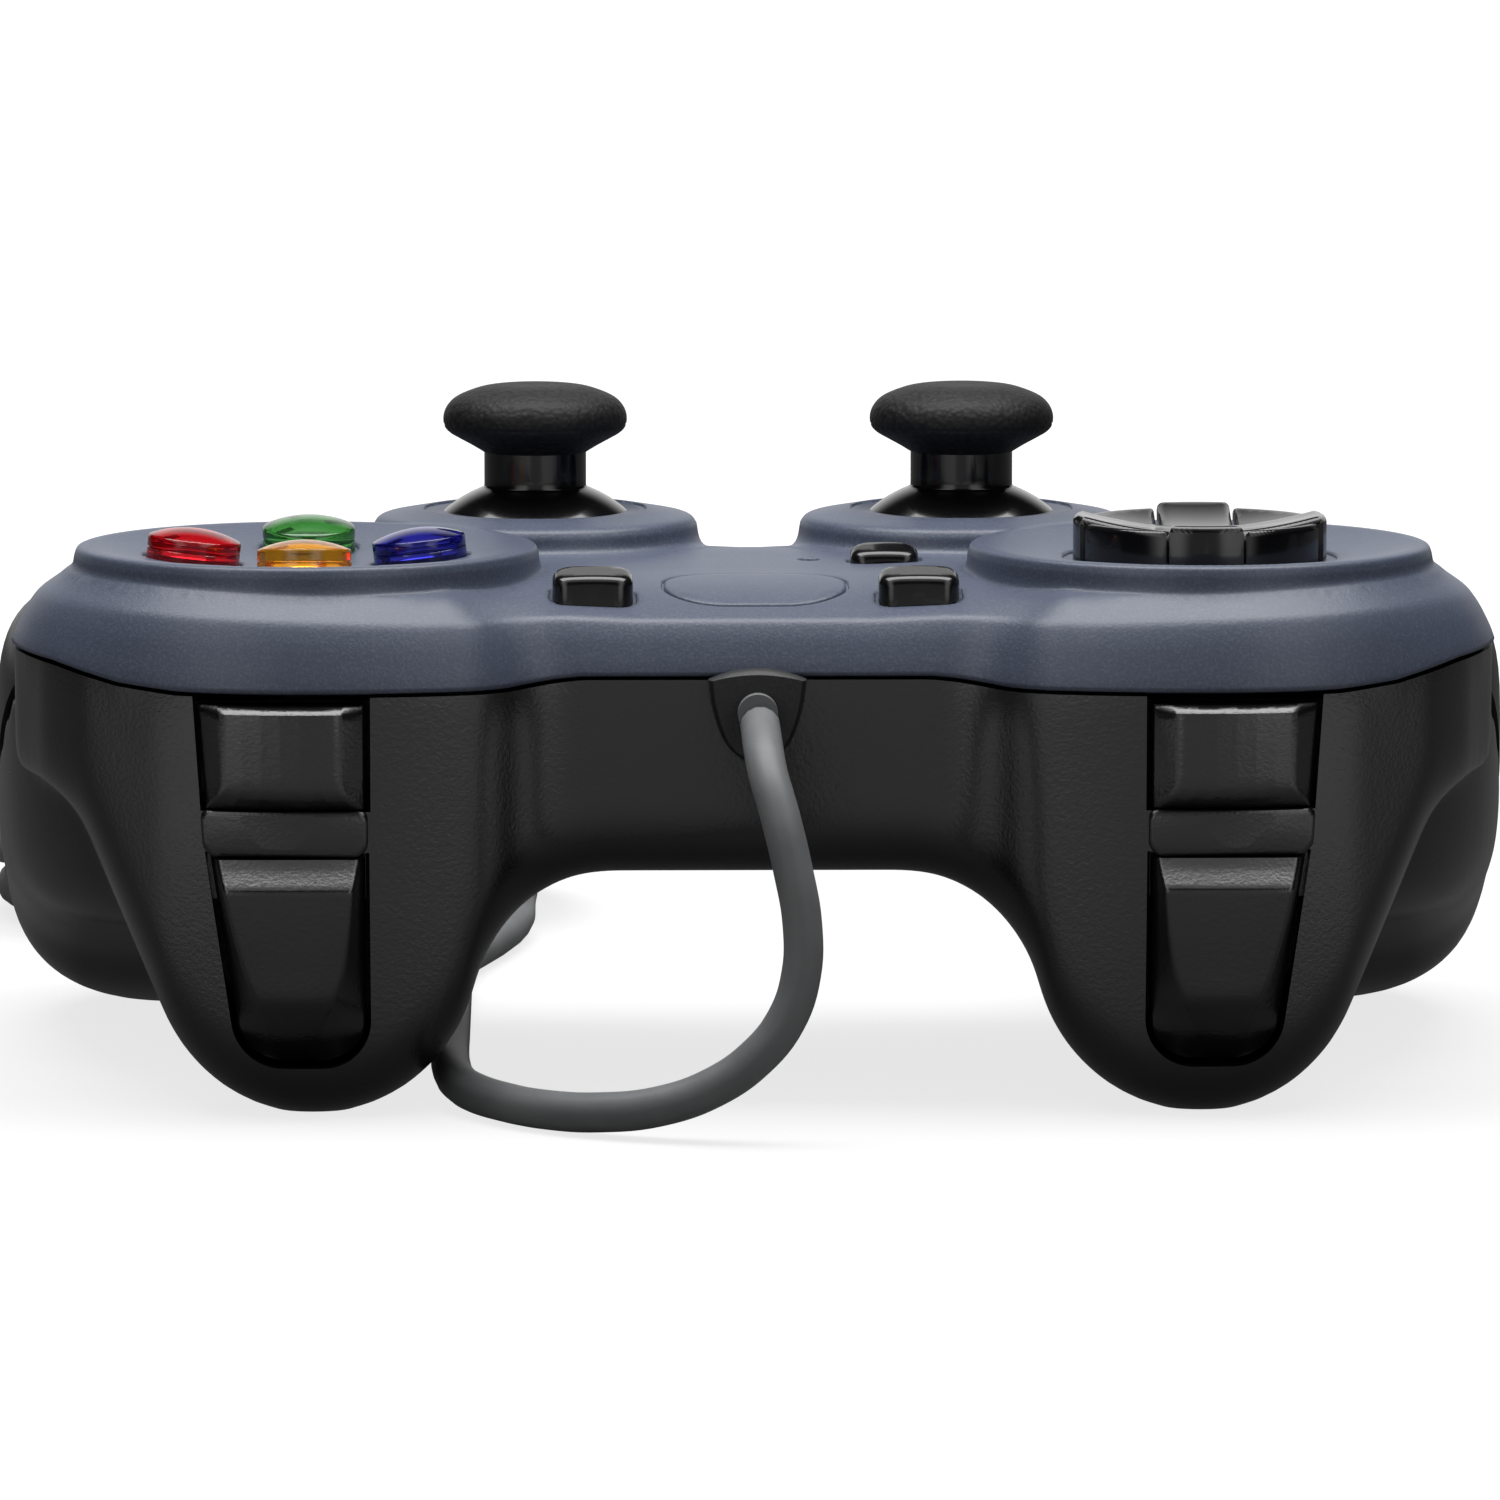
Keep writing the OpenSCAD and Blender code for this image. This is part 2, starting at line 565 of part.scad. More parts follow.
module shell_screw(p, seat, length) {
    translate([p[0], p[1], seat - 1.8]) cylinder(r = 2.5, h = 1.8);
    translate([p[0], p[1], seat - EPS]) cylinder(r = screw_r, h = length);
}
module shell_screws() color("#8d9095") {
    for (p = shell_screws_at) shell_screw(p, screw_seat_z(p), seam_z + 4.6 - screw_seat_z(p));
    for (s = [LEFT, RIGHT]) shell_screw([s * grip_screw_at[0], grip_screw_at[1]], grip_seat_z, 16);
}

// Boards, membranes and connector
module main_board() color("#1f5c3a") difference() {
    translate([0, 0, board_z]) linear_extrude(board_t) intersection() {
        polygon(outline(6));
        translate([-80, front_y + wall + 1.5]) square([160, 70]);
    }
    both() block(window_in_x - 2.2, window_out_x + 1.5, lobe_front_y, bracket_y + 1.2 + board_clear, board_z - 1, board_top + 1);
    for (p = shell_screws_at) translate([p[0], p[1], board_z - 1]) cylinder(r = 3.6, h = 4);
    for (p = board_screws_at, s = [LEFT, RIGHT]) translate([s * p[0], p[1], board_z - 1]) cylinder(r = 1.1, h = 4);
}
module board_screws() color("#a9acb0") for (p = board_screws_at, s = [LEFT, RIGHT]) translate([s * p[0], p[1], board_top]) {
    cylinder(r = 1.9, h = 1.1);
    translate([0, 0, -board_t - 2.6]) cylinder(r = 0.95, h = board_t + 2.6 + EPS);
}
module shoulder_board(s) color("#1f5c3a") {
    x = s * (window_in_x + window_out_x) / 2;
    block(x - 8, x + 8, pin_y + 1.6, pin_y + 2.8, 32, 40.6);
    block(x - 3, x + 3, pin_y - 1, pin_y + 1.6, 33.5, 39.5);
    translate([x, 0, 36.5]) rod_y(pin_y - 2.2 + bumper_travel, pin_y - 1 + EPS, 1.7);
}
module left_shoulder_board() shoulder_board(LEFT);
module right_shoulder_board() shoulder_board(RIGHT);
module dpad_membrane() color("#5b5f66") difference() {
    union() {
        translate([disc_x, disc_y, board_top]) cylinder(r = membrane_r, h = 1);
        for (p = face_places) translate([disc_x + 9 * p[0], disc_y + 9 * p[1], board_top]) cylinder(r1 = 4, r2 = 2.8, h = 6);
    }
    translate([disc_x, disc_y, 0]) cylinder(r = 2.1, h = 80);
}
module face_membrane() color("#5b5f66") {
    translate([-disc_x, disc_y, board_top]) cylinder(r = membrane_r, h = 1);
    for (p = face_places) translate([-disc_x + 12.4 * p[0], disc_y + 12.4 * p[1], board_top]) cylinder(r1 = 4.1, r2 = 3, h = dish_z(face_pitch) - 10.4 - face_travel - board_top);
}
module middle_membrane() color("#5b5f66") {
    block(-21.4, 21.4, home_y + 4, -6, board_top, board_top + 1);
    block(-5, 5, home_y - 4.4, home_y + 4 + EPS, board_top, board_top + 1);
    for (s = [LEFT, RIGHT]) {
        block(s > 0 ? 11 : -21.4, s > 0 ? 21.4 : -11, small_y - 3, home_y + 4 + EPS, board_top, board_top + 1);
        translate([s * small_x, small_y, board_top]) cylinder(r1 = 2.8, r2 = 2, h = 5);
    }
    translate([mode_x, mode_y, board_top]) cylinder(r1 = 2.8, r2 = 2, h = 5);
    translate([0, home_y, board_top]) cylinder(r1 = 4, r2 = 3, h = 5);
}
module cable_connector() color("#e6e2d6") block(-4, 4, connector_y, home_y - 5, board_top, board_top + 5);
module inner_lead() color("#6e7176") translate([0, 0, gland_z]) rod_y(front_y - 4, connector_y, cord_d / 2);
module cable_gland() color("#26272a") difference() {
    union() {
        hull() {
            for (x = [-2.6, 2.6]) translate([x, 0, gland_z + 1.5]) rod_y(front_y - 2, front_y - 0.02, 2.5);
            translate([0, 0, gland_z - 2.1]) rod_y(front_y - 2, front_y - 0.02, 2.5);
            translate([0, 0, gland_z]) rod_y(front_y - 5.4, front_y - 5, 3);
        }
        block(-3.4, 3.4, front_y - 0.5, front_y + wall + 0.9, gland_z - 3.5, seam_z - 0.1);
        block(-4.6, 4.6, front_y + wall + 0.3, front_y + wall + 1.3, gland_z - 4.2, seam_z - 0.1);
    }
    translate([0, 0, gland_z]) rod_y(front_y - 10, front_y + 10, cord_d / 2 + 0.03);
}

// Sticks: housing, yoke, rocker, shaft, stem and pad
axle_r = 1;
module at_stick(s) {
    translate([s * stick_x, stick_y, pivot_z]) children();
}
base_low = board_top - pivot_z;
module stick_housing(s) color("#3a3c40") at_stick(s) {
    block(-8.4, 8.4, -8.4, 8.4, base_low, base_low + 1);
    for (y = [-1, 1]) difference() {
        block(-3, 3, y > 0 ? 7.2 : -8.6, y > 0 ? 8.6 : -7.2, base_low, 2.4);
        rod_y(-12, 12, axle_r + run_gap);
    }
}
module left_stick_housing() stick_housing(LEFT);
module right_stick_housing() stick_housing(RIGHT);
module stick_sensors(s) color("#2f6f4f") at_stick(s) {
    block(-4.6, 4.6, 8.7, 11, base_low, 3);
    block(s > 0 ? -11 : 8.6, s > 0 ? -8.6 : 11, -4.6, 4.6, base_low, 3);
    block(-2.4, 2.4, -2.4, 2.4, base_low + 1, base_low + 1.5);
    translate([0, 0, base_low + 1.5]) cylinder(r = 1, h = 0.25);
}
module left_stick_sensors() stick_sensors(LEFT);
module right_stick_sensors() stick_sensors(RIGHT);
module stick_yoke(s) color("#b9bcc1") at_stick(s) difference() {
    union() {
        difference() {
            block(-5.75, 5.75, -6.5, 6.5, -1.9, 1.9);
            block(-4.3, 4.3, -4.8, 4.8, -3, 3);
        }
        rod_y(-8.45, -5.6, axle_r);
        rod_y(5.6, 8.45, axle_r);
    }
    rod_x(-8, 8, axle_r + run_gap);
}
module left_stick_yoke() stick_yoke(LEFT);
module right_stick_yoke() stick_yoke(RIGHT);
module stick_rocker(s) color("#d8d8d4") at_stick(s) difference() {
    union() {
        block(-2.8, 2.8, -2.8, 2.8, -2.2, 2.2);
        rod_x(-5.6, -2.7, axle_r);
        rod_x(2.7, 5.6, axle_r);
    }
    translate([0, 0, -5]) cylinder(r = 1.5 + run_gap, h = 10);
}
module left_stick_rocker() stick_rocker(LEFT);
module right_stick_rocker() stick_rocker(RIGHT);
pad_low = pad_top_z - pad_h - pivot_z;
module stick_shaft(s) color("#e2e2de") at_stick(s) translate([0, 0, stick_press - 3.7]) cylinder(r = 1.5, h = pad_low + 0.9 - stick_press);
module left_stick_shaft() stick_shaft(LEFT);
module right_stick_shaft() stick_shaft(RIGHT);
dome_turn = asin(collar_hole_r / dome_r) + stick_tilt + 0.5;
module stick_stem(s) color("#15161a") at_stick(s) difference() {
    rotate_extrude() polygon(concat(
        [[0, pad_low + 1.3], [neck_r, pad_low + 1.3], [neck_r, sqrt(dome_r * dome_r - neck_r * neck_r)]],
        [for (i = [1:8]) let (a = asin(neck_r / dome_r) + (dome_turn - asin(neck_r / dome_r)) * i / 8) dome_r * [sin(a), cos(a)]],
        [for (i = [8:-1:1]) let (a = 14 + (dome_turn - 14) * i / 8) (dome_r - 1.2) * [sin(a), cos(a)]],
        [[3, (dome_r - 1.2) * cos(14)], [3, 4.4], [0, 4.4]]));
    translate([0, 0, 4]) cylinder(r = 1.52, h = pad_low - 2.8 - 4);
}
module left_stick_stem() stick_stem(LEFT);
module right_stick_stem() stick_stem(RIGHT);
module stick_pad(s) color("#2b2c30") at_stick(s) difference() {
    rotate_extrude() polygon([[0, pad_low], [neck_r + 0.6, pad_low], [pad_r - 1.6, pad_low + 0.5], [pad_r - 0.5, pad_low + 1.4],
        [pad_r, pad_low + 3], [pad_r - 0.1, pad_low + 4.4], [pad_r - 0.7, pad_low + 6], [pad_r - 1.9, pad_low + pad_h - 0.4],
        [pad_r - 3.6, pad_low + pad_h], [pad_r - 6, pad_low + pad_h - 0.3], [0, pad_low + pad_h - 0.6]]);
    translate([0, 0, pad_low - 1]) cylinder(r = neck_r + 0.02, h = 2.3);
}
module left_stick_pad() stick_pad(LEFT);
module right_stick_pad() stick_pad(RIGHT);

// Buttons on the deck
face_flange_top = -wall - 0.45;
module face_button(p) {
    at_face(p) {
        translate([0, 0, face_flange_top - EPS]) cylinder(r = face_r, h = face_side_h - face_flange_top + EPS);
        dome_ball = (face_r * face_r + face_dome_h * face_dome_h) / (2 * face_dome_h);
        intersection() {
            translate([0, 0, face_side_h + face_dome_h - dome_ball]) sphere(r = dome_ball);
            translate([0, 0, face_side_h - EPS]) cylinder(r = face_r, h = 3);
        }
        translate([0, 0, face_flange_top - 1]) cylinder(r = face_r + 0.9, h = 1);
        translate([0, 0, -9]) cylinder(r = 3.2, h = 9 + face_flange_top);
    }
}
module red_button() color("#c8202c") face_button(face_places[0]);
module blue_button() color("#2c4fa8") face_button(face_places[1]);
module green_button() color("#2f9a4c") face_button(face_places[2]);
module yellow_button() color("#f2a21c") face_button(face_places[3]);
module small_button(x, y, w, d) {
    at_small(x, y) {
        translate([0, 0, ceiling_z - 1.5]) rounded_block(w, d, deck_z + small_h - ceiling_z + 1.5, 1.6);
        translate([0, 0, ceiling_z - 2.5]) rounded_block(w + 1.8, d + 0.4, 1, 1.6);
        translate([0, 0, small_low]) cylinder(r = 1.8, h = ceiling_z - 2.4 - small_low);
    }
}
module start_button() color("#141519") small_button(-small_x, small_y, small_w, small_d);
module back_button() color("#141519") small_button(small_x, small_y, small_w, small_d);
module mode_button() color("#141519") small_button(mode_x, mode_y, mode_w, small_d - 0.6);
module home_button() color("#8698b2") at_small(0, home_y) {
    translate([0, 0, ceiling_z - 1.5]) rounded_block(home_w, home_d, wall + 1.3, home_d / 2 - 0.5);
    translate([0, 0, ceiling_z - 2.5]) rounded_block(home_w + 2, home_d + 0.4, 1, home_d / 2 - 0.5);
    translate([0, 0, small_low]) cylinder(r = 3, h = ceiling_z - 2.4 - small_low);
}
module led_lens() color("#e9e4d2") at_small(mode_x - 7.7, mode_y + 1.5) {
    translate([0, 0, board_top + 1]) cylinder(r = 1, h = deck_z - 0.1 - board_top - 1);
    translate([0, 0, ceiling_z - 1.2]) cylinder(r = 1.8, h = 1.1);
}

// Direction pad on its cross pivot
dpad_pivot_z = 48;
module at_dpad() {
    translate([disc_x, disc_y, dpad_pivot_z]) children();
}
module dpad_post() color("#9da0a5") at_dpad() {
    translate([0, 0, board_top - dpad_pivot_z]) cylinder(r = 1.8, h = dpad_pivot_z - board_top + 1);
    rod_x(-6.4, 6.4, 0.8);
}
module dpad_hub() color("#6d7076") at_dpad() difference() {
    union() {
        translate([0, 0, -1.4]) difference() {
            cylinder(r = 7, h = 2.8);
            translate([0, 0, -1]) cylinder(r = 3.2, h = 5);
        }
        rod_y(6.5, 9.2, 0.8);
        rod_y(-9.2, -6.5, 0.8);
    }
    rod_x(-10, 10, 0.8 + run_gap);
}
dpad_ball_z = dpad_rim_z + dpad_dish_r - dpad_r * dpad_r / (2 * dpad_dish_r) - dpad_pivot_z;
module dpad_cap() color("#101115") at_dpad() difference() {
    union() {
        difference() {
            union() {
                difference() {
                    cylinder(r = dpad_r, h = dpad_rim_z - dpad_pivot_z);
                    translate([0, 0, dpad_ball_z]) sphere(r = dpad_dish_r - 0.01);
                }
                difference() {
                    intersection() {
                        cylinder(r = dpad_r + 0.3, h = dpad_rim_z - dpad_pivot_z + 0.5);
                        union() {
                            block(-dpad_arm_w / 2, dpad_arm_w / 2, -20, 20, 0, 20);
                            block(-20, 20, -dpad_arm_w / 2, dpad_arm_w / 2, 0, 20);
                        }
                    }
                    translate([0, 0, dpad_ball_z + 0.5]) sphere(r = dpad_dish_r);
                }
                cylinder(r = dpad_r + 2, h = 1.2);
            }
            translate([0, 0, -1]) cylinder(r = dpad_r - 1.4, h = 6);
        }
        for (y = [-1, 1]) block(-2, 2, y > 0 ? 7.9 : -9.3, y > 0 ? 9.3 : -7.9, -1.5, 5.5);
    }
    rod_y(-9.6, -7.6, 0.8 + run_gap);
    rod_y(7.6, 9.6, 0.8 + run_gap);
}

// Bumpers and triggers
module bumper(s) color("#212226") on_side(s) hull() {
    upright(pin_y - 4.2, pin_y - 2.4) bumper_shape(window_gap, seam_z - 0.35);
    block(window_in_x + window_gap + 2.5, window_out_x - window_gap - 2.6, lobe_front_y - bumper_proud,
        lobe_front_y - bumper_proud + 0.5, bumper_low_z + window_gap + 1.9, seam_z - 1);
}
module left_bumper() bumper(LEFT);
module right_bumper() bumper(RIGHT);
module trigger(s) color("#26272b") on_side(s) difference() {
    union() {
        hull() {
            upright(pin_y - 3.2, pin_y - 1.6) trigger_shape(window_gap);
            block(window_in_x + window_gap + 1.2, trigger_out_x - window_gap - 1.4, lobe_front_y - trigger_proud,
                lobe_front_y - trigger_proud + 0.5, trigger_top_z - 3.6, trigger_top_z - 3);
            upright(lobe_front_y - 0.6, lobe_front_y) {
                translate([window_in_x + 5.6, trigger_low_z + 9]) circle(2.6);
                translate([trigger_out_x - 7.2, trigger_low_z + 9.2]) circle(2.8);
            }
        }
        for (x = [window_in_x + 0.4, trigger_out_x - 3.6]) {
            block(x, x + 3.4, pin_y - 2.3, pin_y + 1, trigger_top_z - 5, pin_z);
            translate([0, pin_y, pin_z]) rod_x(x, x + 3.4, 2.3);
        }
    }
    translate([0, pin_y, pin_z]) rod_x(window_in_x - 8, window_out_x + 8, pin_r + run_gap);
}
module left_trigger() trigger(LEFT);
module right_trigger() trigger(RIGHT);
bracket_y = pin_y + 2.8;
module trigger_bracket(s) color("#44464b") on_side(s) difference() {
    union() {
        block(window_in_x - 1.7, window_out_x + 1, bracket_y, bracket_y + 1.2, trigger_top_z - 0.6, seam_z - 1.6);
        for (x = [window_in_x - 1.8, trigger_out_x + 0.5])
            block(x, x + 1.6, pin_y - 1.6, bracket_y + 0.5, trigger_top_z - 0.4, pin_z + 2.3);
        block(window_in_x + 2.3, trigger_out_x - 1.1, bracket_y + 0.6, disc_y + 8, floor_z, floor_z + 1.5);
    }
    translate([0, pin_y, pin_z]) rod_x(window_in_x - 8, window_out_x + 8, pin_r + 0.02);
}
module left_trigger_bracket() trigger_bracket(LEFT);
module right_trigger_bracket() trigger_bracket(RIGHT);
module trigger_pin(s) color("#c4c7cc") translate([0, pin_y, pin_z])
    rod_x(s > 0 ? window_in_x - 1.9 : -trigger_out_x - 2.2, s > 0 ? trigger_out_x + 2.2 : 1.9 - window_in_x, pin_r);
module left_trigger_pin() trigger_pin(LEFT);
module right_trigger_pin() trigger_pin(RIGHT);
module trigger_spring(s) color("#b2b5ba") translate([s * (window_in_x + trigger_out_x) / 2, pin_y, pin_z]) difference() {
    rod_x(-3, 3, pin_r + 0.9);
    rod_x(-4, 4, pin_r + 0.3);
}
module left_trigger_spring() trigger_spring(LEFT);
module right_trigger_spring() trigger_spring(RIGHT);

// Cord: a free lead, a piled coil, a tie and the plug
cord_low = cord_d / 2 + 0.1;
coil_low = cord_low + 1;
coil_c = [-54, 106];
coil_out = coil_r + coil_turns * coil_step / 2;
coil_in = coil_r - coil_turns * coil_step / 2;
coil_start = coil_c + [coil_out, 0];
lead_route = concat([[0, front_y - 4, gland_z], [0, -50, gland_z - 0.1], [0.2, -55, 39], [0.9, -59.5, 36.2], [1.9, -62.6, 32],
    [3.1, -64.2, 27], [4, -64.8, 21.8], [3.9, -65, 16.8], [2.4, -65, 12.2], [-0.6, -64.8, 8.4], [-4.8, -64.2, 5.4],
    [-10, -63, 3.4], [-16, -60.4, 2.4], [-21.4, -56.4, cord_low], [-25.6, -51, cord_low], [-28.4, -45, cord_low],
    [-30, -38, cord_low], [-30.8, -28, cord_low]], [for (y = [-16:12:44]) [-31, y, cord_low]],
    [[coil_start[0] - 0.4, coil_c[1] - 28, cord_low + 0.2], [coil_start[0], coil_c[1] - 14, cord_low + 0.8],
    [coil_start[0], coil_c[1], coil_low]]);
// One place on the coil, by its angle
half = 180;
layer_turn = 360 * coil_turns + half;
coil_end = coil_layers * layer_turn - half;
tail_end = coil_end + 225;
function spiral(a) =
    let (k = min(coil_layers - 1, floor(a / layer_turn)), b = a - k * layer_turn, run = min(1, b / (360 * coil_turns)),
        climb = max(0, b / half - 2 * coil_turns), inward = k % 2 == 0,
        t = max(0, a - coil_end),
        out = coil_step * min(1, t / 90), fall = max(0, min(1, (t - 90) / 125)),
        r = inward ? coil_out + (coil_in - coil_out) * run : coil_in + (coil_out - coil_in) * run,
        z = coil_low + (k + (a > coil_end ? 0 : climb)) * coil_rise)
    [coil_c[0] + (r + out) * cos(a), coil_c[1] + (r + out) * sin(a), z + (4.3 - z) * fall];
coil_points = [for (a = [0:15:tail_end]) spiral(a)];
// Rings round a route, each square to the way there
function way(pts, i) = let (d = pts[min(i + 1, len(pts) - 1)] - pts[max(i - 1, 0)]) d / norm(d);
function tube_rings(pts, r, sides, aim) = [for (i = [0:len(pts) - 1])
    let (w = way(pts, i), u0 = cross(w, aim), u = u0 / norm(u0), v = cross(w, u))
    [for (k = [0:sides - 1]) pts[i] + r * (cos(360 * (k + 0.5) / sides) * u + sin(360 * (k + 0.5) / sides) * v)]];
function route_length(pts, i = 0) = i >= len(pts) - 1 ? 0 : norm(pts[i + 1] - pts[i]) + route_length(pts, i + 1);
module cord_lead() color("#77797e") skin(tube_rings(lead_route, cord_d / 2, 8, [1, 0.2, -1]));
module cord_coil() color("#77797e") {
    gap = min([for (i = [0:len(coil_points) - 1], j = [i + 8:1:len(coil_points) - 1]) norm(coil_points[i] - coil_points[j])]) - cord_d;
    echo(least_gap_of_coil = gap, cord_length = route_length(lead_route) + route_length(coil_points));
    skin(tube_rings(coil_points, cord_d / 2, 6, [0, 0, 1]));
}
module coil_tie() color("#1b1c1f") translate([coil_c[0], coil_c[1], 0]) difference() {
    block(-3.5, 3.5, coil_in - cord_d / 2 - 1.4, coil_out + cord_d / 2 + 1.2, 0,
        coil_low + coil_rise * (coil_layers - 1) + cord_d / 2 + 1.2);
    block(-4, 4, coil_in - cord_d / 2 - 0.5, coil_out + cord_d / 2 + 0.3, 0.9,
        coil_low + coil_rise * (coil_layers - 1) + cord_d / 2 + 0.3);
}
plug_at = coil_points[len(coil_points) - 1];
plug_turn = heading([0, 0], way(coil_points, len(coil_points) - 1));
module at_plug() {
    translate(plug_at) rotate([0, 0, plug_turn]) children();
}
module plug_body() color("#1d1e21") at_plug() {
    rod_x(0, 9.2, 3);
    translate([9, 0, 0]) block(0, 29, -7.8, 7.8, -4.2, 4.2);
}
module plug_shell() color("#c9ccd1") at_plug() difference() {
    block(38, 50.6, -6, 6, -2.25, 2.25);
    block(40, 51, -5.6, 5.6, -0.2, 1.9);
}

bottom_shell();
top_shell();
left_grip_cover();
right_grip_cover();
main_board();
left_shoulder_board();
right_shoulder_board();
dpad_membrane();
face_membrane();
middle_membrane();
left_stick_housing();
right_stick_housing();
left_stick_sensors();
right_stick_sensors();
left_stick_yoke();
right_stick_yoke();
left_stick_rocker();
right_stick_rocker();
left_stick_shaft();
right_stick_shaft();
left_stick_stem();
right_stick_stem();
left_stick_pad();
right_stick_pad();
red_button();
green_button();
blue_button();
yellow_button();
home_button();
back_button();
start_button();
mode_button();
led_lens();
dpad_post();
dpad_hub();
dpad_cap();
left_bumper();
right_bumper();
left_trigger();
right_trigger();
left_trigger_bracket();
right_trigger_bracket();
left_trigger_pin();
right_trigger_pin();
left_trigger_spring();
right_trigger_spring();
shell_screws();
board_screws();
cable_gland();
inner_lead();
cable_connector();
cord_lead();
cord_coil();
coil_tie();
plug_body();
plug_shell();
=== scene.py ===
"""The looks of a wired gamepad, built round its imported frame.

Shapes are worked out in millimetres and become metres in piece().
"""
import math

import bmesh
import bpy
from mathutils import Matrix, Vector
from mathutils.geometry import delaunay_2d_cdt


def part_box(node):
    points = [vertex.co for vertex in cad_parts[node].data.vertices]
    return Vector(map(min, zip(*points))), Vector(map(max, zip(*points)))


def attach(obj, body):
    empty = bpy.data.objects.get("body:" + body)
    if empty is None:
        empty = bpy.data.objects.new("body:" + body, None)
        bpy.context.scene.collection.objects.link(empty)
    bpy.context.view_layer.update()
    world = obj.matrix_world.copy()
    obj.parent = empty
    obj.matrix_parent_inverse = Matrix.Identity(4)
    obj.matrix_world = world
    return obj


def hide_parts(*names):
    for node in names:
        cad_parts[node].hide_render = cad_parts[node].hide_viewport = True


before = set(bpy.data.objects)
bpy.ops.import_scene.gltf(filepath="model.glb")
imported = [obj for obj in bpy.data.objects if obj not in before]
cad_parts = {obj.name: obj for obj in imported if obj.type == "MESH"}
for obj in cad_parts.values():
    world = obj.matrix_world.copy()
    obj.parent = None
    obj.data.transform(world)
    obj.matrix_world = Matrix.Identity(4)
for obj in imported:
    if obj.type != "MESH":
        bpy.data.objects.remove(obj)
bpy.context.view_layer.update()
MM = 0.001


def middle(node):
    """Centre of a node's box, in millimetres."""
    low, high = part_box(node)
    return (low + high) / (2 * MM)


def top_of(node):
    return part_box(node)[1].z / MM


# Places that the frame gives
DISC = middle("dpad_cap").xy
STICK = middle("left_stick_pad").xy
BACK = middle("back_button").xy
START = middle("start_button").xy
MODE = middle("mode_button").xy
HOME = middle("home_button").xy
LED = middle("led_lens").xy
SIDES = {"left": 1, "right": -1}

# Body outline and heights. The front corners and the bow are the looks' own, the rest is as in the solids
BODY_R = 30
FRONT_Y = -42
FRONT_FILLET = 9
FRONT_CORNER = 10
FRONT_R = 60
CORNER_TURN = 255
REAR_R = 20
REAR_Y = 19
SIDE_FILLET = 8
REAR_FILLET = 6
SEAM_Z = 42.6
SEAM_GAP = 0.24
DECK_Z = 51.4
CREASE_Z = 49.3
CROWN_Z = 52
BELLY_Z = 23
REAR_BELLY_Z = 30
HIP_Z = 32
WALL = 2.2
TOP_WALL = 1.3
CEILING_Z = DECK_Z - WALL

# Lobes and handles
LOBE_X = 44.4
LOBE_R = 16.5
LOBE_FILLET = 14.2
FLANK = 66
HIP_FILLET = 8
LOBE_REAR_Y = -16
LOBE_EDGE_R = 7
FRONT_LEAN = 1.2
FOOT_FLAT = 0.5
HANDLE_X = 58.2
HANDLE_RX = 20
HANDLE_ROOT_Y = -30
HANDLE_TIP_Y = 52.4
PARTING_Y = -14
PARTING_FALL = 0.81
PARTING_LIFT = 0.2
PARTING_GAP = 0.02
COVER_GAP = 0.12

# Raised rounds on the deck
DISH_R = 104
CREST_R = 22.1
CREST_Z = 54.65
DISC_WALL_R = 23.6
DISC_FOOT = 0.9
COLLAR_HOLE_R = 11.5
COLLAR_WALL_R = 16.8
COLLAR_FOOT = 2.3
FACE_PITCH = 11.6
FACE_R = 4.75
BUTTON_GAP = 0.3
DPAD_HOLE_R = 13.9
LED_HOLE_R = 1.05
HOME_GAP = 0.2

# Sticks
PIVOT_Z = 43.6
DOME_R = 14.9
DOME_WALL = 1.2
BORE_R = 3
BORE_TURN = 14
NECK_R = 5.3
PAD_H = 7.4

# Shoulder windows
WINDOW_IN_X = 38.57
WINDOW_OUT_X = 56.4
BUMPER_LOW_Z = 30.9
TRIGGER_TOP_Z = 26.8
TRIGGER_LOW_Z = 5
TRIGGER_OUT_X = 55.1
TRIGGER_IN_R = 4.8
TRIGGER_OUT_R = 5.2
WINDOW_SLANT = 0.9
WINDOW_GAP = 0.55
PIN_Y = -43.2
PIN_Z = 28.8

# Cord
CORD_D = 4
GLAND_Z = 40.2
GLAND_HALF = 4.9
GLAND_LOW_Z = 34.5
GLAND_SEAM_Z = SEAM_Z + 0.75
NOTCH_HALF = 2.4
NOTCH_DROP = 2.6
COIL_C = Vector((-54, 106))
COIL_R = 24.6
COIL_STEP = 5.1
COIL_TURNS = 2
COIL_LAYERS = 4


# Plane geometry

def heading(a, b):
    return math.degrees(math.atan2(b[1] - a[1], b[0] - a[0]))


def polar(centre, radius, degrees):
    turn = math.radians(degrees)
    return Vector((centre[0] + radius * math.cos(turn), centre[1] + radius * math.sin(turn)))


def arc(centre, radius, start, end, count):
    """Points of an arc, both ends included."""
    return [polar(centre, radius, start + (end - start) * i / count) for i in range(count + 1)]


def circle(centre, radius, count, turn=0.0):
    return arc(centre, radius, turn, turn + 360, count)[:-1]


def apex(a, b, ra, rb):
    """The point at distance ra from a and rb from b, on the right of the way from a to b."""
    span = (b - a).length
    along = (span * span + ra * ra - rb * rb) / (2 * span)
    up = math.sqrt(ra * ra - along * along)
    way = (b - a) / span
    return a + along * way + up * Vector((way.y, -way.x))


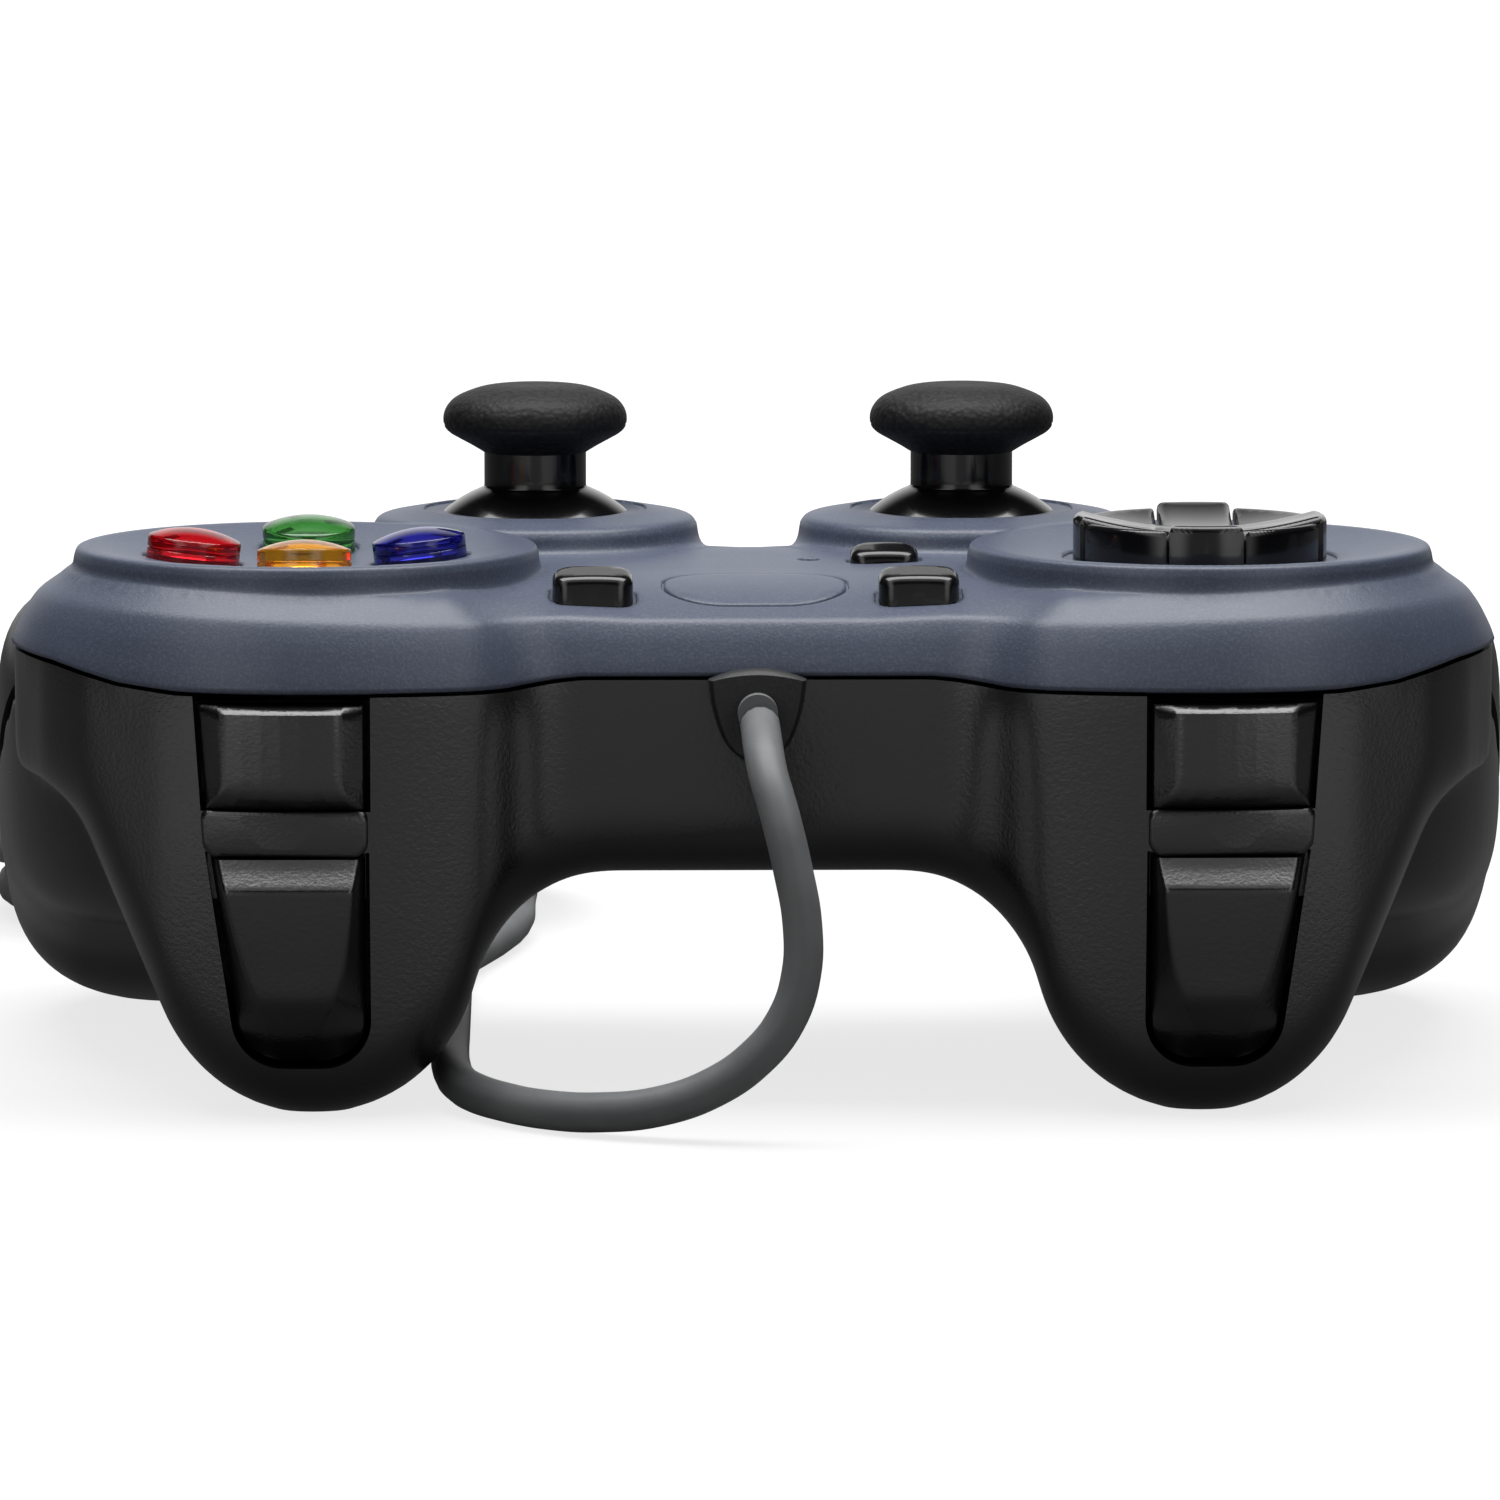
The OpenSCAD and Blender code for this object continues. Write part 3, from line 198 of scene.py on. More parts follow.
def rounded(points, radius, steps=4):
    """An open line whose inner corners are rounded off. radius is one number, or one for each point."""
    points = [Vector(p) for p in points]
    radii = radius if isinstance(radius, (list, tuple)) else [radius] * len(points)
    line = [points[0]]
    for before, corner, after, r in zip(points, points[1:], points[2:], radii[1:]):
        ends = []
        for other in (before, after):
            way = other - corner
            ends.append(corner + way * min(0.5, r / way.length))
        for i in range(steps + 1):
            t = i / steps
            line.append(ends[0] * (1 - t) ** 2 + corner * 2 * t * (1 - t) + ends[1] * t * t)
    return line + [points[-1]]


def along(line, x):
    """Height at x of a line whose points run with rising x."""
    if x <= line[0][0]:
        return line[0][1]
    for a, b in zip(line, line[1:]):
        if x <= b[0]:
            return a[1] + (b[1] - a[1]) * (x - a[0]) / max(1e-9, b[0] - a[0])
    return line[-1][1]


def eased(rows, t):
    """A row of numbers between the given rows, whose first number is the place, on a smooth curve."""
    last = len(rows) - 1
    k = max(i for i in range(last) if rows[i][0] <= t)
    p = [rows[max(0, min(last, k + j))] for j in (-1, 0, 1, 2)]
    span = p[2][0] - p[1][0]
    u = (t - p[1][0]) / span
    row = []
    for c in range(len(rows[0])):
        m1 = (p[2][c] - p[0][c]) / max(1e-9, p[2][0] - p[0][0]) * span
        m2 = (p[3][c] - p[1][c]) / max(1e-9, p[3][0] - p[1][0]) * span
        row.append((2 * u ** 3 - 3 * u ** 2 + 1) * p[1][c] + (u ** 3 - 2 * u ** 2 + u) * m1
                   + (3 * u ** 2 - 2 * u ** 3) * p[2][c] + (u ** 3 - u ** 2) * m2)
    return row


def both_ways(half):
    """A ring from its half at positive x."""
    return half + [Vector((-p.x, p.y)) for p in reversed(half) if p.x > 0.01]


# Plan outline of the body

bow_c = Vector((DISC.x, DISC.y - BODY_R + FRONT_R))
corner_c = polar(bow_c, FRONT_R - FRONT_CORNER, CORNER_TURN)
front_reach = FRONT_CORNER + FRONT_FILLET
front_drop = FRONT_Y - FRONT_FILLET - corner_c.y
front_c = Vector((corner_c.x - math.sqrt(front_reach ** 2 - front_drop ** 2), FRONT_Y - FRONT_FILLET))
side_c = apex(DISC, STICK, BODY_R + SIDE_FILLET, REAR_R + SIDE_FILLET)
rear_reach = REAR_R + REAR_FILLET
rear_lift = REAR_Y + REAR_FILLET - STICK.y
rear_c = Vector((STICK.x - math.sqrt(rear_reach ** 2 - rear_lift ** 2), REAR_Y + REAR_FILLET))
# centre, radius, first and last angle, whether it bulges outwards, points at full fineness
OUTLINE_ARCS = [
    (front_c, FRONT_FILLET, 90, heading(front_c, corner_c), -1, 14),
    (corner_c, FRONT_CORNER, heading(corner_c, front_c) + 360, CORNER_TURN, 1, 14),
    (bow_c, FRONT_R, CORNER_TURN, 270, 1, 26),
    (DISC, BODY_R, -90, heading(DISC, side_c), 1, 100),
    (side_c, SIDE_FILLET, heading(side_c, DISC), heading(side_c, STICK), -1, 14),
    (STICK, REAR_R, heading(STICK, side_c), heading(STICK, rear_c), 1, 56),
    (rear_c, REAR_FILLET, heading(rear_c, STICK), -90, -1, 10),
]
FRONT_STEPS = 24


def outline(d, fine=1.0):
    """Ring of the body's plan, drawn in by d."""
    steps = max(2, round(FRONT_STEPS * fine))
    half = [Vector((front_c.x * i / steps, FRONT_Y + d)) for i in range(steps)]
    for centre, radius, start, end, bulge, count in OUTLINE_ARCS:
        half += arc(centre, radius - bulge * d, start, end, max(2, round(count * fine)))[:-1]
    half += [Vector((rear_c.x, REAR_Y - d)), Vector((0, REAR_Y - d))]
    return both_ways(half)


def inset(x, y):
    """How far a place lies inside the outline. Deep inside it gives the depth that the flat deck needs."""
    place = Vector((abs(x), y))
    best = 20.0
    if place.x <= front_c.x:
        best = min(best, y - FRONT_Y)
    if place.x <= rear_c.x:
        best = min(best, REAR_Y - y)
    for centre, radius, start, end, bulge, _ in OUTLINE_ARCS:
        mid = (start + end) / 2
        off = (heading(centre, place) - mid + 180) % 360 - 180
        if abs(off) <= abs(end - start) / 2:
            best = min(best, bulge * (radius - (place - centre).length))
    return best


front_lines = {}


def front_at(x, d=0.0):
    """Front wall of the body in plan, drawn in by d."""
    if d not in front_lines:
        ring = outline(d)
        front_lines[d] = ring[:next(i for i, p in enumerate(ring) if p.y > DISC.y - 1)]
    return along(front_lines[d], abs(x))


# How far the seam between the shells, and the crease above it, rise from their height on the lobes
SEAM_RISE = [(0, 0.85), (17.5, 0.85), (20, 0.6), (24.5, 0), (58, 0), (64, 0.5), (70.6, 1.9), (76, 2.3)]
CREASE_RISE = [(0, -0.3), (12, -0.3), (19, 0), (33, -0.2), (60, 0.7), (76, 0.9)]


def rise(line, x, y):
    return along(line, abs(x)) * along([(-16, 1), (4, 0)], y)


# Mesh making

def ring_of(bm, points):
    """A closed ring of edges through points."""
    verts = [bm.verts.new(p) for p in points]
    return [bm.edges.new((verts[i - 1], verts[i])) for i in range(len(verts))]


def loft(rings, ends=True):
    """A closed skin through rings with the same number of points."""
    bm = bmesh.new()
    loops = [ring_of(bm, ring) for ring in rings]
    for near, far in zip(loops, loops[1:]):
        bmesh.ops.bridge_loops(bm, edges=near + far)
    if ends:
        for loop in (loops[0], loops[-1]):
            bmesh.ops.contextual_create(bm, geom=loop)
    bmesh.ops.recalc_face_normals(bm, faces=bm.faces)
    return bm


def lathe(profile, steps=96, centre=(0, 0, 0)):
    """A turned solid from a line of radius and height."""
    bm = bmesh.new()
    verts = [bm.verts.new((r, 0, z)) for r, z in profile]
    edges = [bm.edges.new(pair) for pair in zip(verts, verts[1:])]
    bmesh.ops.spin(bm, geom=verts + edges, cent=(0, 0, 0), axis=(0, 0, 1), angle=2 * math.pi,
                   steps=steps, use_merge=True)
    bmesh.ops.remove_doubles(bm, verts=bm.verts, dist=1e-4)
    bmesh.ops.recalc_face_normals(bm, faces=bm.faces)
    bmesh.ops.translate(bm, vec=centre, verts=bm.verts)
    return bm


def rod(a, b, radius, steps=32):
    """A plain round bar from a to b."""
    bm = bmesh.new()
    way = Vector(b) - Vector(a)
    place = Matrix.Translation((Vector(a) + Vector(b)) / 2) @ way.to_track_quat("Z", "Y").to_matrix().to_4x4()
    bmesh.ops.create_cone(bm, cap_ends=True, segments=steps, radius1=radius, radius2=radius,
                          depth=way.length, matrix=place)
    return bm


def box(low, high):
    bm = bmesh.new()
    bmesh.ops.create_cube(bm, size=1)
    low = Vector(low)
    high = Vector(high)
    bmesh.ops.scale(bm, vec=high - low, verts=bm.verts)
    bmesh.ops.translate(bm, vec=(low + high) / 2, verts=bm.verts)
    return bm


def joined(*parts):
    """One bmesh that holds several."""
    whole = parts[0]
    for part in parts[1:]:
        mesh = bpy.data.meshes.new("part")
        part.to_mesh(mesh)
        part.free()
        whole.from_mesh(mesh)
        bpy.data.meshes.remove(mesh)
    return whole


def mirrored(bm):
    """The same shape on the other side."""
    bmesh.ops.scale(bm, vec=(-1, 1, 1), verts=bm.verts)
    bmesh.ops.reverse_faces(bm, faces=bm.faces)
    return bm


def on_side(bm, side):
    return bm if side > 0 else mirrored(bm)


def placed(bm, place, turn=None):
    if turn is not None:
        bmesh.ops.rotate(bm, cent=(0, 0, 0), matrix=turn, verts=bm.verts)
    bmesh.ops.translate(bm, vec=place, verts=bm.verts)
    return bm


def bevelled(bm, offset, angle=30, segments=3):
    """Rounds every edge that turns by more than angle degrees."""
    sharp = [e for e in bm.edges if len(e.link_faces) == 2 and math.degrees(e.calc_face_angle()) > angle]
    bmesh.ops.bevel(bm, geom=sharp, offset=offset, offset_type="OFFSET", affect="EDGES",
                    segments=segments, profile=0.5, material=-1, clamp_overlap=True)
    return bm


def scratch_object(bm):
    mesh = bpy.data.meshes.new("scratch")
    bm.to_mesh(mesh)
    bm.free()
    thing = bpy.data.objects.new("scratch", mesh)
    bpy.context.scene.collection.objects.link(thing)
    return thing


def dismiss(thing):
    mesh = thing.data
    bpy.data.objects.remove(thing)
    bpy.data.meshes.remove(mesh)


def modified(bm, kind, **settings):
    """The shape after one modifier."""
    thing = scratch_object(bm)
    modifier = thing.modifiers.new(kind, kind)
    for name, value in settings.items():
        setattr(modifier, name, value)
    result = bmesh.new()
    result.from_object(thing, bpy.context.evaluated_depsgraph_get())
    dismiss(thing)
    return result


def cut(bm, cutter):
    """The shape less another closed shape."""
    tool = scratch_object(cutter)
    result = modified(bm, "BOOLEAN", operation="DIFFERENCE", solver="MANIFOLD", object=tool)
    dismiss(tool)
    return result


def melted(bm, grain, passes):
    """Overlapping closed shapes as one skin with soft inner corners."""
    whole = modified(bm, "REMESH", mode="VOXEL", voxel_size=grain)
    for _ in range(passes):
        bmesh.ops.smooth_vert(whole, verts=whole.verts, factor=0.5, use_axis_x=True, use_axis_y=True,
                              use_axis_z=True)
    return whole


def piece(name, bm, finish, body, slot, nodes=(), sharp=35):
    """A finished piece: its mesh in metres, its finish and the body it rides on. The nodes that it stands for
    are hidden.
    """
    bmesh.ops.scale(bm, vec=(MM, MM, MM), verts=bm.verts)
    mesh = bpy.data.meshes.new(name)
    bm.to_mesh(mesh)
    bm.free()
    mesh.materials.append(finish)
    mesh.shade_smooth()
    mesh.set_sharp_from_angle(angle=math.radians(sharp))
    thing = bpy.data.objects.new(name, mesh)
    bpy.context.scene.collection.objects.link(thing)
    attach(thing, body)
    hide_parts(*nodes)
    return thing


def plate(loops, loose, height):
    """A skin over a plan: fixed loops, loose points between them, and a height for every place.

    The rows of points follow the rims and walls, so that they shade as clean bands.
    No operator lays a skin out so.
    """
    points = []
    edges = []
    for loop in loops:
        first = len(points)
        points += loop
        edges += [(first + i, first + (i + 1) % len(loop)) for i in range(len(loop))]
    inside_with_holes = 2
    flat, _, faces, *_ = delaunay_2d_cdt(points + loose, edges, [], inside_with_holes, 1e-5)
    bm = bmesh.new()
    verts = [bm.verts.new((p.x, p.y, height(p.x, p.y))) for p in flat]
    for face in faces:
        bm.faces.new([verts[i] for i in face])
    bmesh.ops.delete(bm, geom=[v for v in verts if not v.link_faces], context="VERTS")
    bmesh.ops.recalc_face_normals(bm, faces=bm.faces)
    if sum(f.normal.z for f in bm.faces) < 0:
        bmesh.ops.reverse_faces(bm, faces=bm.faces)
    return bm


def hexagons(low, high, step):
    """Loose points on a triangular grid."""
    rows = int((high[1] - low[1]) / (step * 0.866)) + 1
    columns = int((high[0] - low[0]) / step) + 1
    return [Vector((low[0] + (i + 0.5 * (j % 2)) * step, low[1] + j * step * 0.866))
            for j in range(rows) for i in range(columns)]


def edge_drop(distance, radius):
    """How far a rounded edge falls at a distance from the rim."""
    if distance >= radius:
        return 0.0
    return radius - math.sqrt(radius * radius - (radius - max(0.0, distance)) ** 2)


def levelled(made, z):
    """Brings the corners among new geometry to one height."""
    for v in made:
        if isinstance(v, bmesh.types.BMVert):
            v.co.z = z


EDGE_ROWS = (0.0, 0.03, 0.1, 0.22, 0.4, 0.65, 1.0)


def cap(ring, height, edge, low, step=0.8):
    """A block with an upright side, a rounded upper edge and a top of the given height.

    ring(d) is its plan, drawn in by d.
    """
    rows = [d * edge for d in EDGE_ROWS]
    loops = [ring(d) for d in rows]
    core = ring(edge + 0.5 * step)
    depths = {}
    for d, loop in zip(rows, loops):
        for p in loop:
            depths[(round(p.x, 4), round(p.y, 4))] = d
    xs = [p.x for p in core]
    ys = [p.y for p in core]
    fill = [p for p in hexagons((min(xs), min(ys)), (max(xs), max(ys)), step) if inside(p, core)]

    def top(x, y):
        return height(x, y) - edge_drop(depths.get((round(x, 4), round(y, 4)), edge), edge)

    bm = plate(loops[:1], [p for loop in loops[1:] for p in loop] + fill, top)
    rim = [e for e in bm.edges if e.is_boundary]
    made = bmesh.ops.extrude_edge_only(bm, edges=rim)["geom"]
    levelled(made, low)
    bmesh.ops.contextual_create(bm, geom=[e for e in made if isinstance(e, bmesh.types.BMEdge)])
    bmesh.ops.recalc_face_normals(bm, faces=bm.faces)
    return bm


def inside(p, ring):
    """Whether a place lies inside a ring."""
    odd = False
    for a, b in zip(ring, ring[1:] + ring[:1]):
        if (a.y > p.y) != (b.y > p.y) and p.x < a.x + (b.x - a.x) * (p.y - a.y) / (b.y - a.y):
            odd = not odd
    return odd


# sides of an oblong's corners, and the way from each to the next
CORNERS = ((1, 1, (-1, 0)), (-1, 1, (0, -1)), (-1, -1, (1, 0)), (1, -1, (0, 1)))


def slot_ring(centre, half_w, half_d, corner, grow=0.0, step=0.5):
    """A rounded oblong in plan, grown by some distance. The corner of a round one is its half width."""
    w, d, r = half_w + grow, half_d + grow, corner + grow
    count = max(4, round(r * math.pi / 2 / step))
    ring = []
    for k, (sx, sy, way) in enumerate(CORNERS):
        corner_at = (centre[0] + sx * (w - r), centre[1] + sy * (d - r))
        ring += arc(corner_at, r, 90 * k, 90 * k + 90, count)[:-1]
        last = polar(corner_at, r, 90 * k + 90)
        run = 2 * (w - r) if k % 2 == 0 else 2 * (d - r)
        parts = round(run / step)
        ring += [last + Vector(way) * run * i / parts for i in range(parts)]
    return ring


def slot_gap(hole, x, y):
    """Distance of a place from a slot's edge, negative inside."""
    centre, half_w, half_d, corner = hole
    qx = abs(x - centre[0]) - (half_w - corner)
    qy = abs(y - centre[1]) - (half_d - corner)
    return math.hypot(max(qx, 0), max(qy, 0)) + min(max(qx, qy), 0) - corner


# Shader making

class Value:
    """A socket that takes part in sums."""

    def __init__(self, finish, socket):
        self.finish = finish
        self.socket = socket

    def __add__(self, other):
        return self.finish.maths("ADD", self, other)

    __radd__ = __add__

    def __sub__(self, other):
        return self.finish.maths("SUBTRACT", self, other)

    def __rsub__(self, other):
        return self.finish.maths("SUBTRACT", other, self)

    def __mul__(self, other):
        return self.finish.maths("MULTIPLY", self, other)

    __rmul__ = __mul__


class Finish:
    """One node tree, of a material or of the world."""

    def __init__(self, tree):
        self.tree = tree
        tree.nodes.clear()

    def node(self, kind, settings=None, sockets=None, output=0):
        """A node of some type: its settings first, then the values or links of its sockets."""
        made = self.tree.nodes.new("ShaderNode" + kind)
        for name, value in (settings or {}).items():
            if name == "stops":
                ramp = made.color_ramp.elements
                while len(ramp) < len(value):
                    ramp.new(1)
                for stop, (place, colour) in zip(ramp, value):
                    stop.position = place
                    stop.color = colour
            else:
                setattr(made, name, value)
        for name, value in (sockets or {}).items():
            if isinstance(value, Value):
                self.tree.links.new(value.socket, made.inputs[name])
            else:
                made.inputs[name].default_value = value
        return Value(self, made.outputs[output]) if made.outputs else made

    def maths(self, operation, a, b):
        return self.node("Math", {"operation": operation}, {0: a, 1: b})

    def blend(self, factor, a, b):
        """Colour between a and b."""
        return self.node("Mix", {"data_type": "RGBA"}, {0: factor, 6: a, 7: b}, output=2)

    def noise(self, size, detail=2.0, rough=0.5):
        """Noise whose lumps are about size millimetres."""
        place = self.node("TexCoord", output=3)
        return self.node("TexNoise", None, {"Vector": place, "Scale": 1 / (size * MM), "Detail": detail,
                                            "Roughness": rough})

    def cells(self, size):
        """Distance within cells of about size millimetres."""
        place = self.node("TexCoord", output=3)
        return self.node("TexVoronoi", {"feature": "SMOOTH_F1"}, {"Vector": place, "Scale": 1 / (size * MM)})

    def ramp(self, value, low, high):
        """0 at low, 1 at high, smooth between."""
        return self.node("MapRange", {"interpolation_type": "SMOOTHSTEP"},
                         {"Value": value, "From Min": low, "From Max": high})

    def bump(self, height, depth):
        """A normal from a height that runs from 0 to 1, depth in millimetres."""
        return self.node("Bump", None, {"Strength": 1.0, "Distance": depth * MM, "Height": height})

    def surface(self, **sockets):
        names = {name.replace("_", " "): value for name, value in sockets.items()}
        shader = self.node("BsdfPrincipled", None, names)
        self.node("OutputMaterial", None, {"Surface": shader})


def material(name):
    made = bpy.data.materials.new(name)
    made.use_nodes = True
    return made, Finish(made.node_tree)


def rgb(r, g, b):
    return (r, g, b, 1.0)


def grained(name, colour, light, roughness, grain, depth, specular=0.5, spread=0.06):
    """Moulded plastic with a fine grain that also speckles its colour."""
    made, f = material(name)
    fine = f.noise(grain, 2.0, 0.6)
    broad = f.noise(9, 2.0)
    speckle = f.ramp(fine, 0.42, 0.72)
    f.surface(Base_Color=f.blend(speckle, rgb(*colour), rgb(*light)),
              Roughness=broad * spread + fine * spread + (roughness - spread),
              Normal=f.bump(fine, depth), Specular_IOR_Level=specular)
    return made


def glossy(name, colour, roughness, coat=0.0, specular=0.5):
    """Polished plastic with faint waviness and smears."""
    made, f = material(name)
    broad = f.noise(4, 3.0)
    fine = f.noise(0.4, 2.0)
    f.surface(Base_Color=f.blend(broad, rgb(*colour), rgb(*[c * 1.5 for c in colour])),
              Roughness=broad * 0.06 + fine * 0.05 + roughness, Normal=f.bump(broad, 0.01),
              Coat_Weight=coat, Specular_IOR_Level=specular)
    return made


def leathery(name, colour, light):
    """Thumb rubber with a pebbled skin."""
    made, f = material(name)
    pebble = f.cells(0.5)
    fine = f.noise(0.2, 2.0)
    height = 1 - pebble + fine * 0.2
    f.surface(Base_Color=f.blend(f.ramp(pebble, 0.25, 0.75), rgb(*light), rgb(*colour)),
              Roughness=fine * 0.12 + 0.5, Normal=f.bump(height, 0.09), Specular_IOR_Level=0.25)
    return made


def clear(name, colour, deep):
    """Tinted clear plastic."""
    made, f = material(name)
    cloud = f.noise(2.4, 2.0)
    fine = f.noise(0.5, 1.0)
    f.surface(Base_Color=f.blend(cloud, rgb(*colour), rgb(*deep)), Roughness=fine * 0.03 + 0.02,
              Normal=f.bump(cloud, 0.01), Transmission_Weight=0.85, IOR=1.45)
    return made


def metal(name, colour, roughness):
    made, f = material(name)
    fine = f.noise(0.3, 3.0)
    broad = f.noise(5, 2.0)
    f.surface(Base_Color=f.blend(broad, rgb(*colour), rgb(*[c * 0.8 for c in colour])), Metallic=1.0,
              Roughness=fine * 0.15 + roughness, Normal=f.bump(fine, 0.01))
    return made


def board(name):
    """Green solder mask with paler tracks."""
    made, f = material(name)
    tracks = f.ramp(f.cells(2.6), 0.42, 0.46)
    fine = f.noise(0.5, 2.0)
    f.surface(Base_Color=f.blend(tracks, rgb(0.012, 0.11, 0.045), rgb(0.03, 0.2, 0.09)),
              Roughness=fine * 0.15 + 0.28, Normal=f.bump(tracks, 0.03))
    return made


def cable_rubber(name, colour, light):
    """Smooth cord jacket with faint rubbed patches."""
    made, f = material(name)
    broad = f.noise(7, 3.0)
    fine = f.noise(0.5, 2.0)
    f.surface(Base_Color=f.blend(f.ramp(broad, 0.35, 0.7), rgb(*colour), rgb(*light)),
              Roughness=fine * 0.1 + broad * 0.1 + 0.42, Normal=f.bump(fine, 0.02))
    return made


BLUE_SATIN = grained("blue_satin", (0.083, 0.1, 0.15), (0.118, 0.138, 0.195), 0.42, 0.3, 0.03)
BLACK_GRAIN = grained("black_grain", (0.0075, 0.0075, 0.008), (0.008, 0.008, 0.0085), 0.25, 0.42, 0.035, 0.8)
BLACK_GRIP = grained("black_grip", (0.006, 0.006, 0.0065), (0.009, 0.009, 0.0095), 0.3, 0.3, 0.01, 0.15)
GLOSS_BLACK = glossy("gloss_black", (0.006, 0.006, 0.0068), 0.1, 0.2, 0.4)
PAD_RUBBER = leathery("pad_rubber", (0.006, 0.006, 0.0065), (0.016, 0.016, 0.017))
RED_CLEAR = clear("red_clear", (0.75, 0.012, 0.02), (0.5, 0.006, 0.012))
GREEN_CLEAR = clear("green_clear", (0.1, 0.42, 0.09), (0.05, 0.25, 0.05))
BLUE_CLEAR = clear("blue_clear", (0.035, 0.035, 0.42), (0.015, 0.015, 0.26))
AMBER_CLEAR = clear("amber_clear", (1.0, 0.5, 0.04), (0.95, 0.4, 0.02))
LENS = clear("lens", (0.7, 0.62, 0.4), (0.55, 0.48, 0.3))
CIRCUIT = board("circuit_board")
SILICONE = grained("silicone", (0.1, 0.105, 0.115), (0.13, 0.135, 0.145), 0.6, 0.5, 0.02)
INNER_PLASTIC = grained("inner_plastic", (0.035, 0.036, 0.039), (0.05, 0.051, 0.054), 0.5, 0.5, 0.02)
LIGHT_PLASTIC = grained("light_plastic", (0.6, 0.59, 0.54), (0.68, 0.67, 0.62), 0.45, 0.5, 0.02)
STEEL = metal("steel", (0.6, 0.61, 0.63), 0.25)
CORD_RUBBER = cable_rubber("cable_rubber", (0.17, 0.175, 0.18), (0.21, 0.215, 0.22))
MOULDED_RUBBER = grained("moulded_rubber", (0.01, 0.01, 0.0105), (0.019, 0.019, 0.02), 0.52, 0.35, 0.04, 0.45)


# Camera, cord and stage

PHOTO_W = 1500
PIXELS_PER_MM = 9.65
CAMERA_FAR = 1200
CAMERA_UP = 7
CAMERA_SIDE = -1
LOOK_AT = Vector((0, 0, 31))
SENSOR = 36


def camera():
    data = bpy.data.cameras.new("camera")
    data.sensor_width = SENSOR
    data.lens = SENSOR * PIXELS_PER_MM * CAMERA_FAR / PHOTO_W
    data.clip_start = 0.05
    data.clip_end = 20
    up = math.radians(CAMERA_UP)
    side = math.radians(CAMERA_SIDE)
    back = Vector((math.sin(side) * math.cos(up), -math.cos(side) * math.cos(up), math.sin(up)))
    thing = bpy.data.objects.new("camera", data)
    thing.location = (LOOK_AT + back * CAMERA_FAR) * MM
    thing.rotation_mode = "QUATERNION"
    thing.rotation_quaternion = (-back).to_track_quat("-Z", "Y")
    bpy.context.scene.collection.objects.link(thing)
    bpy.context.scene.camera = thing


camera()

CORD_LOW = CORD_D / 2 + 0.1
COIL_LOW = CORD_LOW + 1
COIL_OUT = COIL_R + COIL_TURNS * COIL_STEP / 2
COIL_IN = COIL_R - COIL_TURNS * COIL_STEP / 2
PLUG_Z = 4.3
HALF_TURN = 180
LAYER_TURN = 360 * COIL_TURNS + HALF_TURN
COIL_END = COIL_LAYERS * LAYER_TURN - HALF_TURN
TAIL_END = COIL_END + 225
LEAD = [(0.2, FRONT_Y - 1.8, GLAND_Z - 1.1), (0.25, -50, GLAND_Z - 1.4), (0.35, -55, 38),
        (0.8, -59.5, 35.7), (1.9, -62.6, 32), (3.1, -64.2, 27), (4, -64.8, 21.8),
        (3.9, -65, 16.8), (2.4, -65, 12.2), (-0.6, -64.8, 8.4),
        (-4.8, -64.2, 5.4), (-10, -63, 3.4), (-16, -60.4, 2.4), (-21.4, -56.4, CORD_LOW),
        (-25.6, -51, CORD_LOW),
        (-28.4, -45, CORD_LOW), (-30, -38, CORD_LOW), (-30.8, -28, CORD_LOW)]
LEAD += [(-31, y, CORD_LOW) for y in range(-16, 45, 12)]
COIL_START = COIL_C.x + COIL_OUT
LEAD += [(COIL_START - 0.4, COIL_C.y - 28, CORD_LOW + 0.2), (COIL_START, COIL_C.y - 14, CORD_LOW + 0.8)]


def coil_at(turn):
    """A place on the piled coil, by its angle. The tail steps outwards and comes down to the floor."""
    layer = min(COIL_LAYERS - 1, turn // LAYER_TURN)
    on_layer = turn - layer * LAYER_TURN
    run = min(1, on_layer / (360 * COIL_TURNS))
    climb = 0 if turn > COIL_END else max(0, on_layer / HALF_TURN - 2 * COIL_TURNS)
    tail = max(0, turn - COIL_END)
    fall = max(0, min(1, (tail - 90) / 125))
    start, end = (COIL_OUT, COIL_IN) if layer % 2 == 0 else (COIL_IN, COIL_OUT)
    radius = start + (end - start) * run + COIL_STEP * min(1, tail / 90)
    z = COIL_LOW + (layer + climb) * COIL_STEP
    place = polar(COIL_C, radius, turn)
    return Vector((place.x, place.y, z + (PLUG_Z - z) * fall))


CORD_ROUTE = [Vector(p) for p in LEAD] + [coil_at(turn) for turn in range(0, TAIL_END + 1, 15)]


def cord():
    data = bpy.data.curves.new("cord", "CURVE")
    data.dimensions = "3D"
    data.bevel_depth = CORD_D / 2 * MM
    data.bevel_resolution = 5
    data.resolution_u = 6
    data.use_fill_caps = True
    line = data.splines.new("BEZIER")
    line.bezier_points.add(len(CORD_ROUTE) - 1)
    for knot, p in zip(line.bezier_points, CORD_ROUTE):
        knot.co = p * MM
        knot.handle_left_type = "AUTO"
        knot.handle_right_type = "AUTO"
    line.use_smooth = True
    data.materials.append(CORD_RUBBER)
    thing = bpy.data.objects.new("cord", data)
    bpy.context.scene.collection.objects.link(thing)
    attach(thing, "controller")
    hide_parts("cord_lead", "cord_coil")
    return thing


CORD = cord()


TIE_HALF = 3.5
TIE_FOOT = 0.9
TIE_CORNER = 2.2


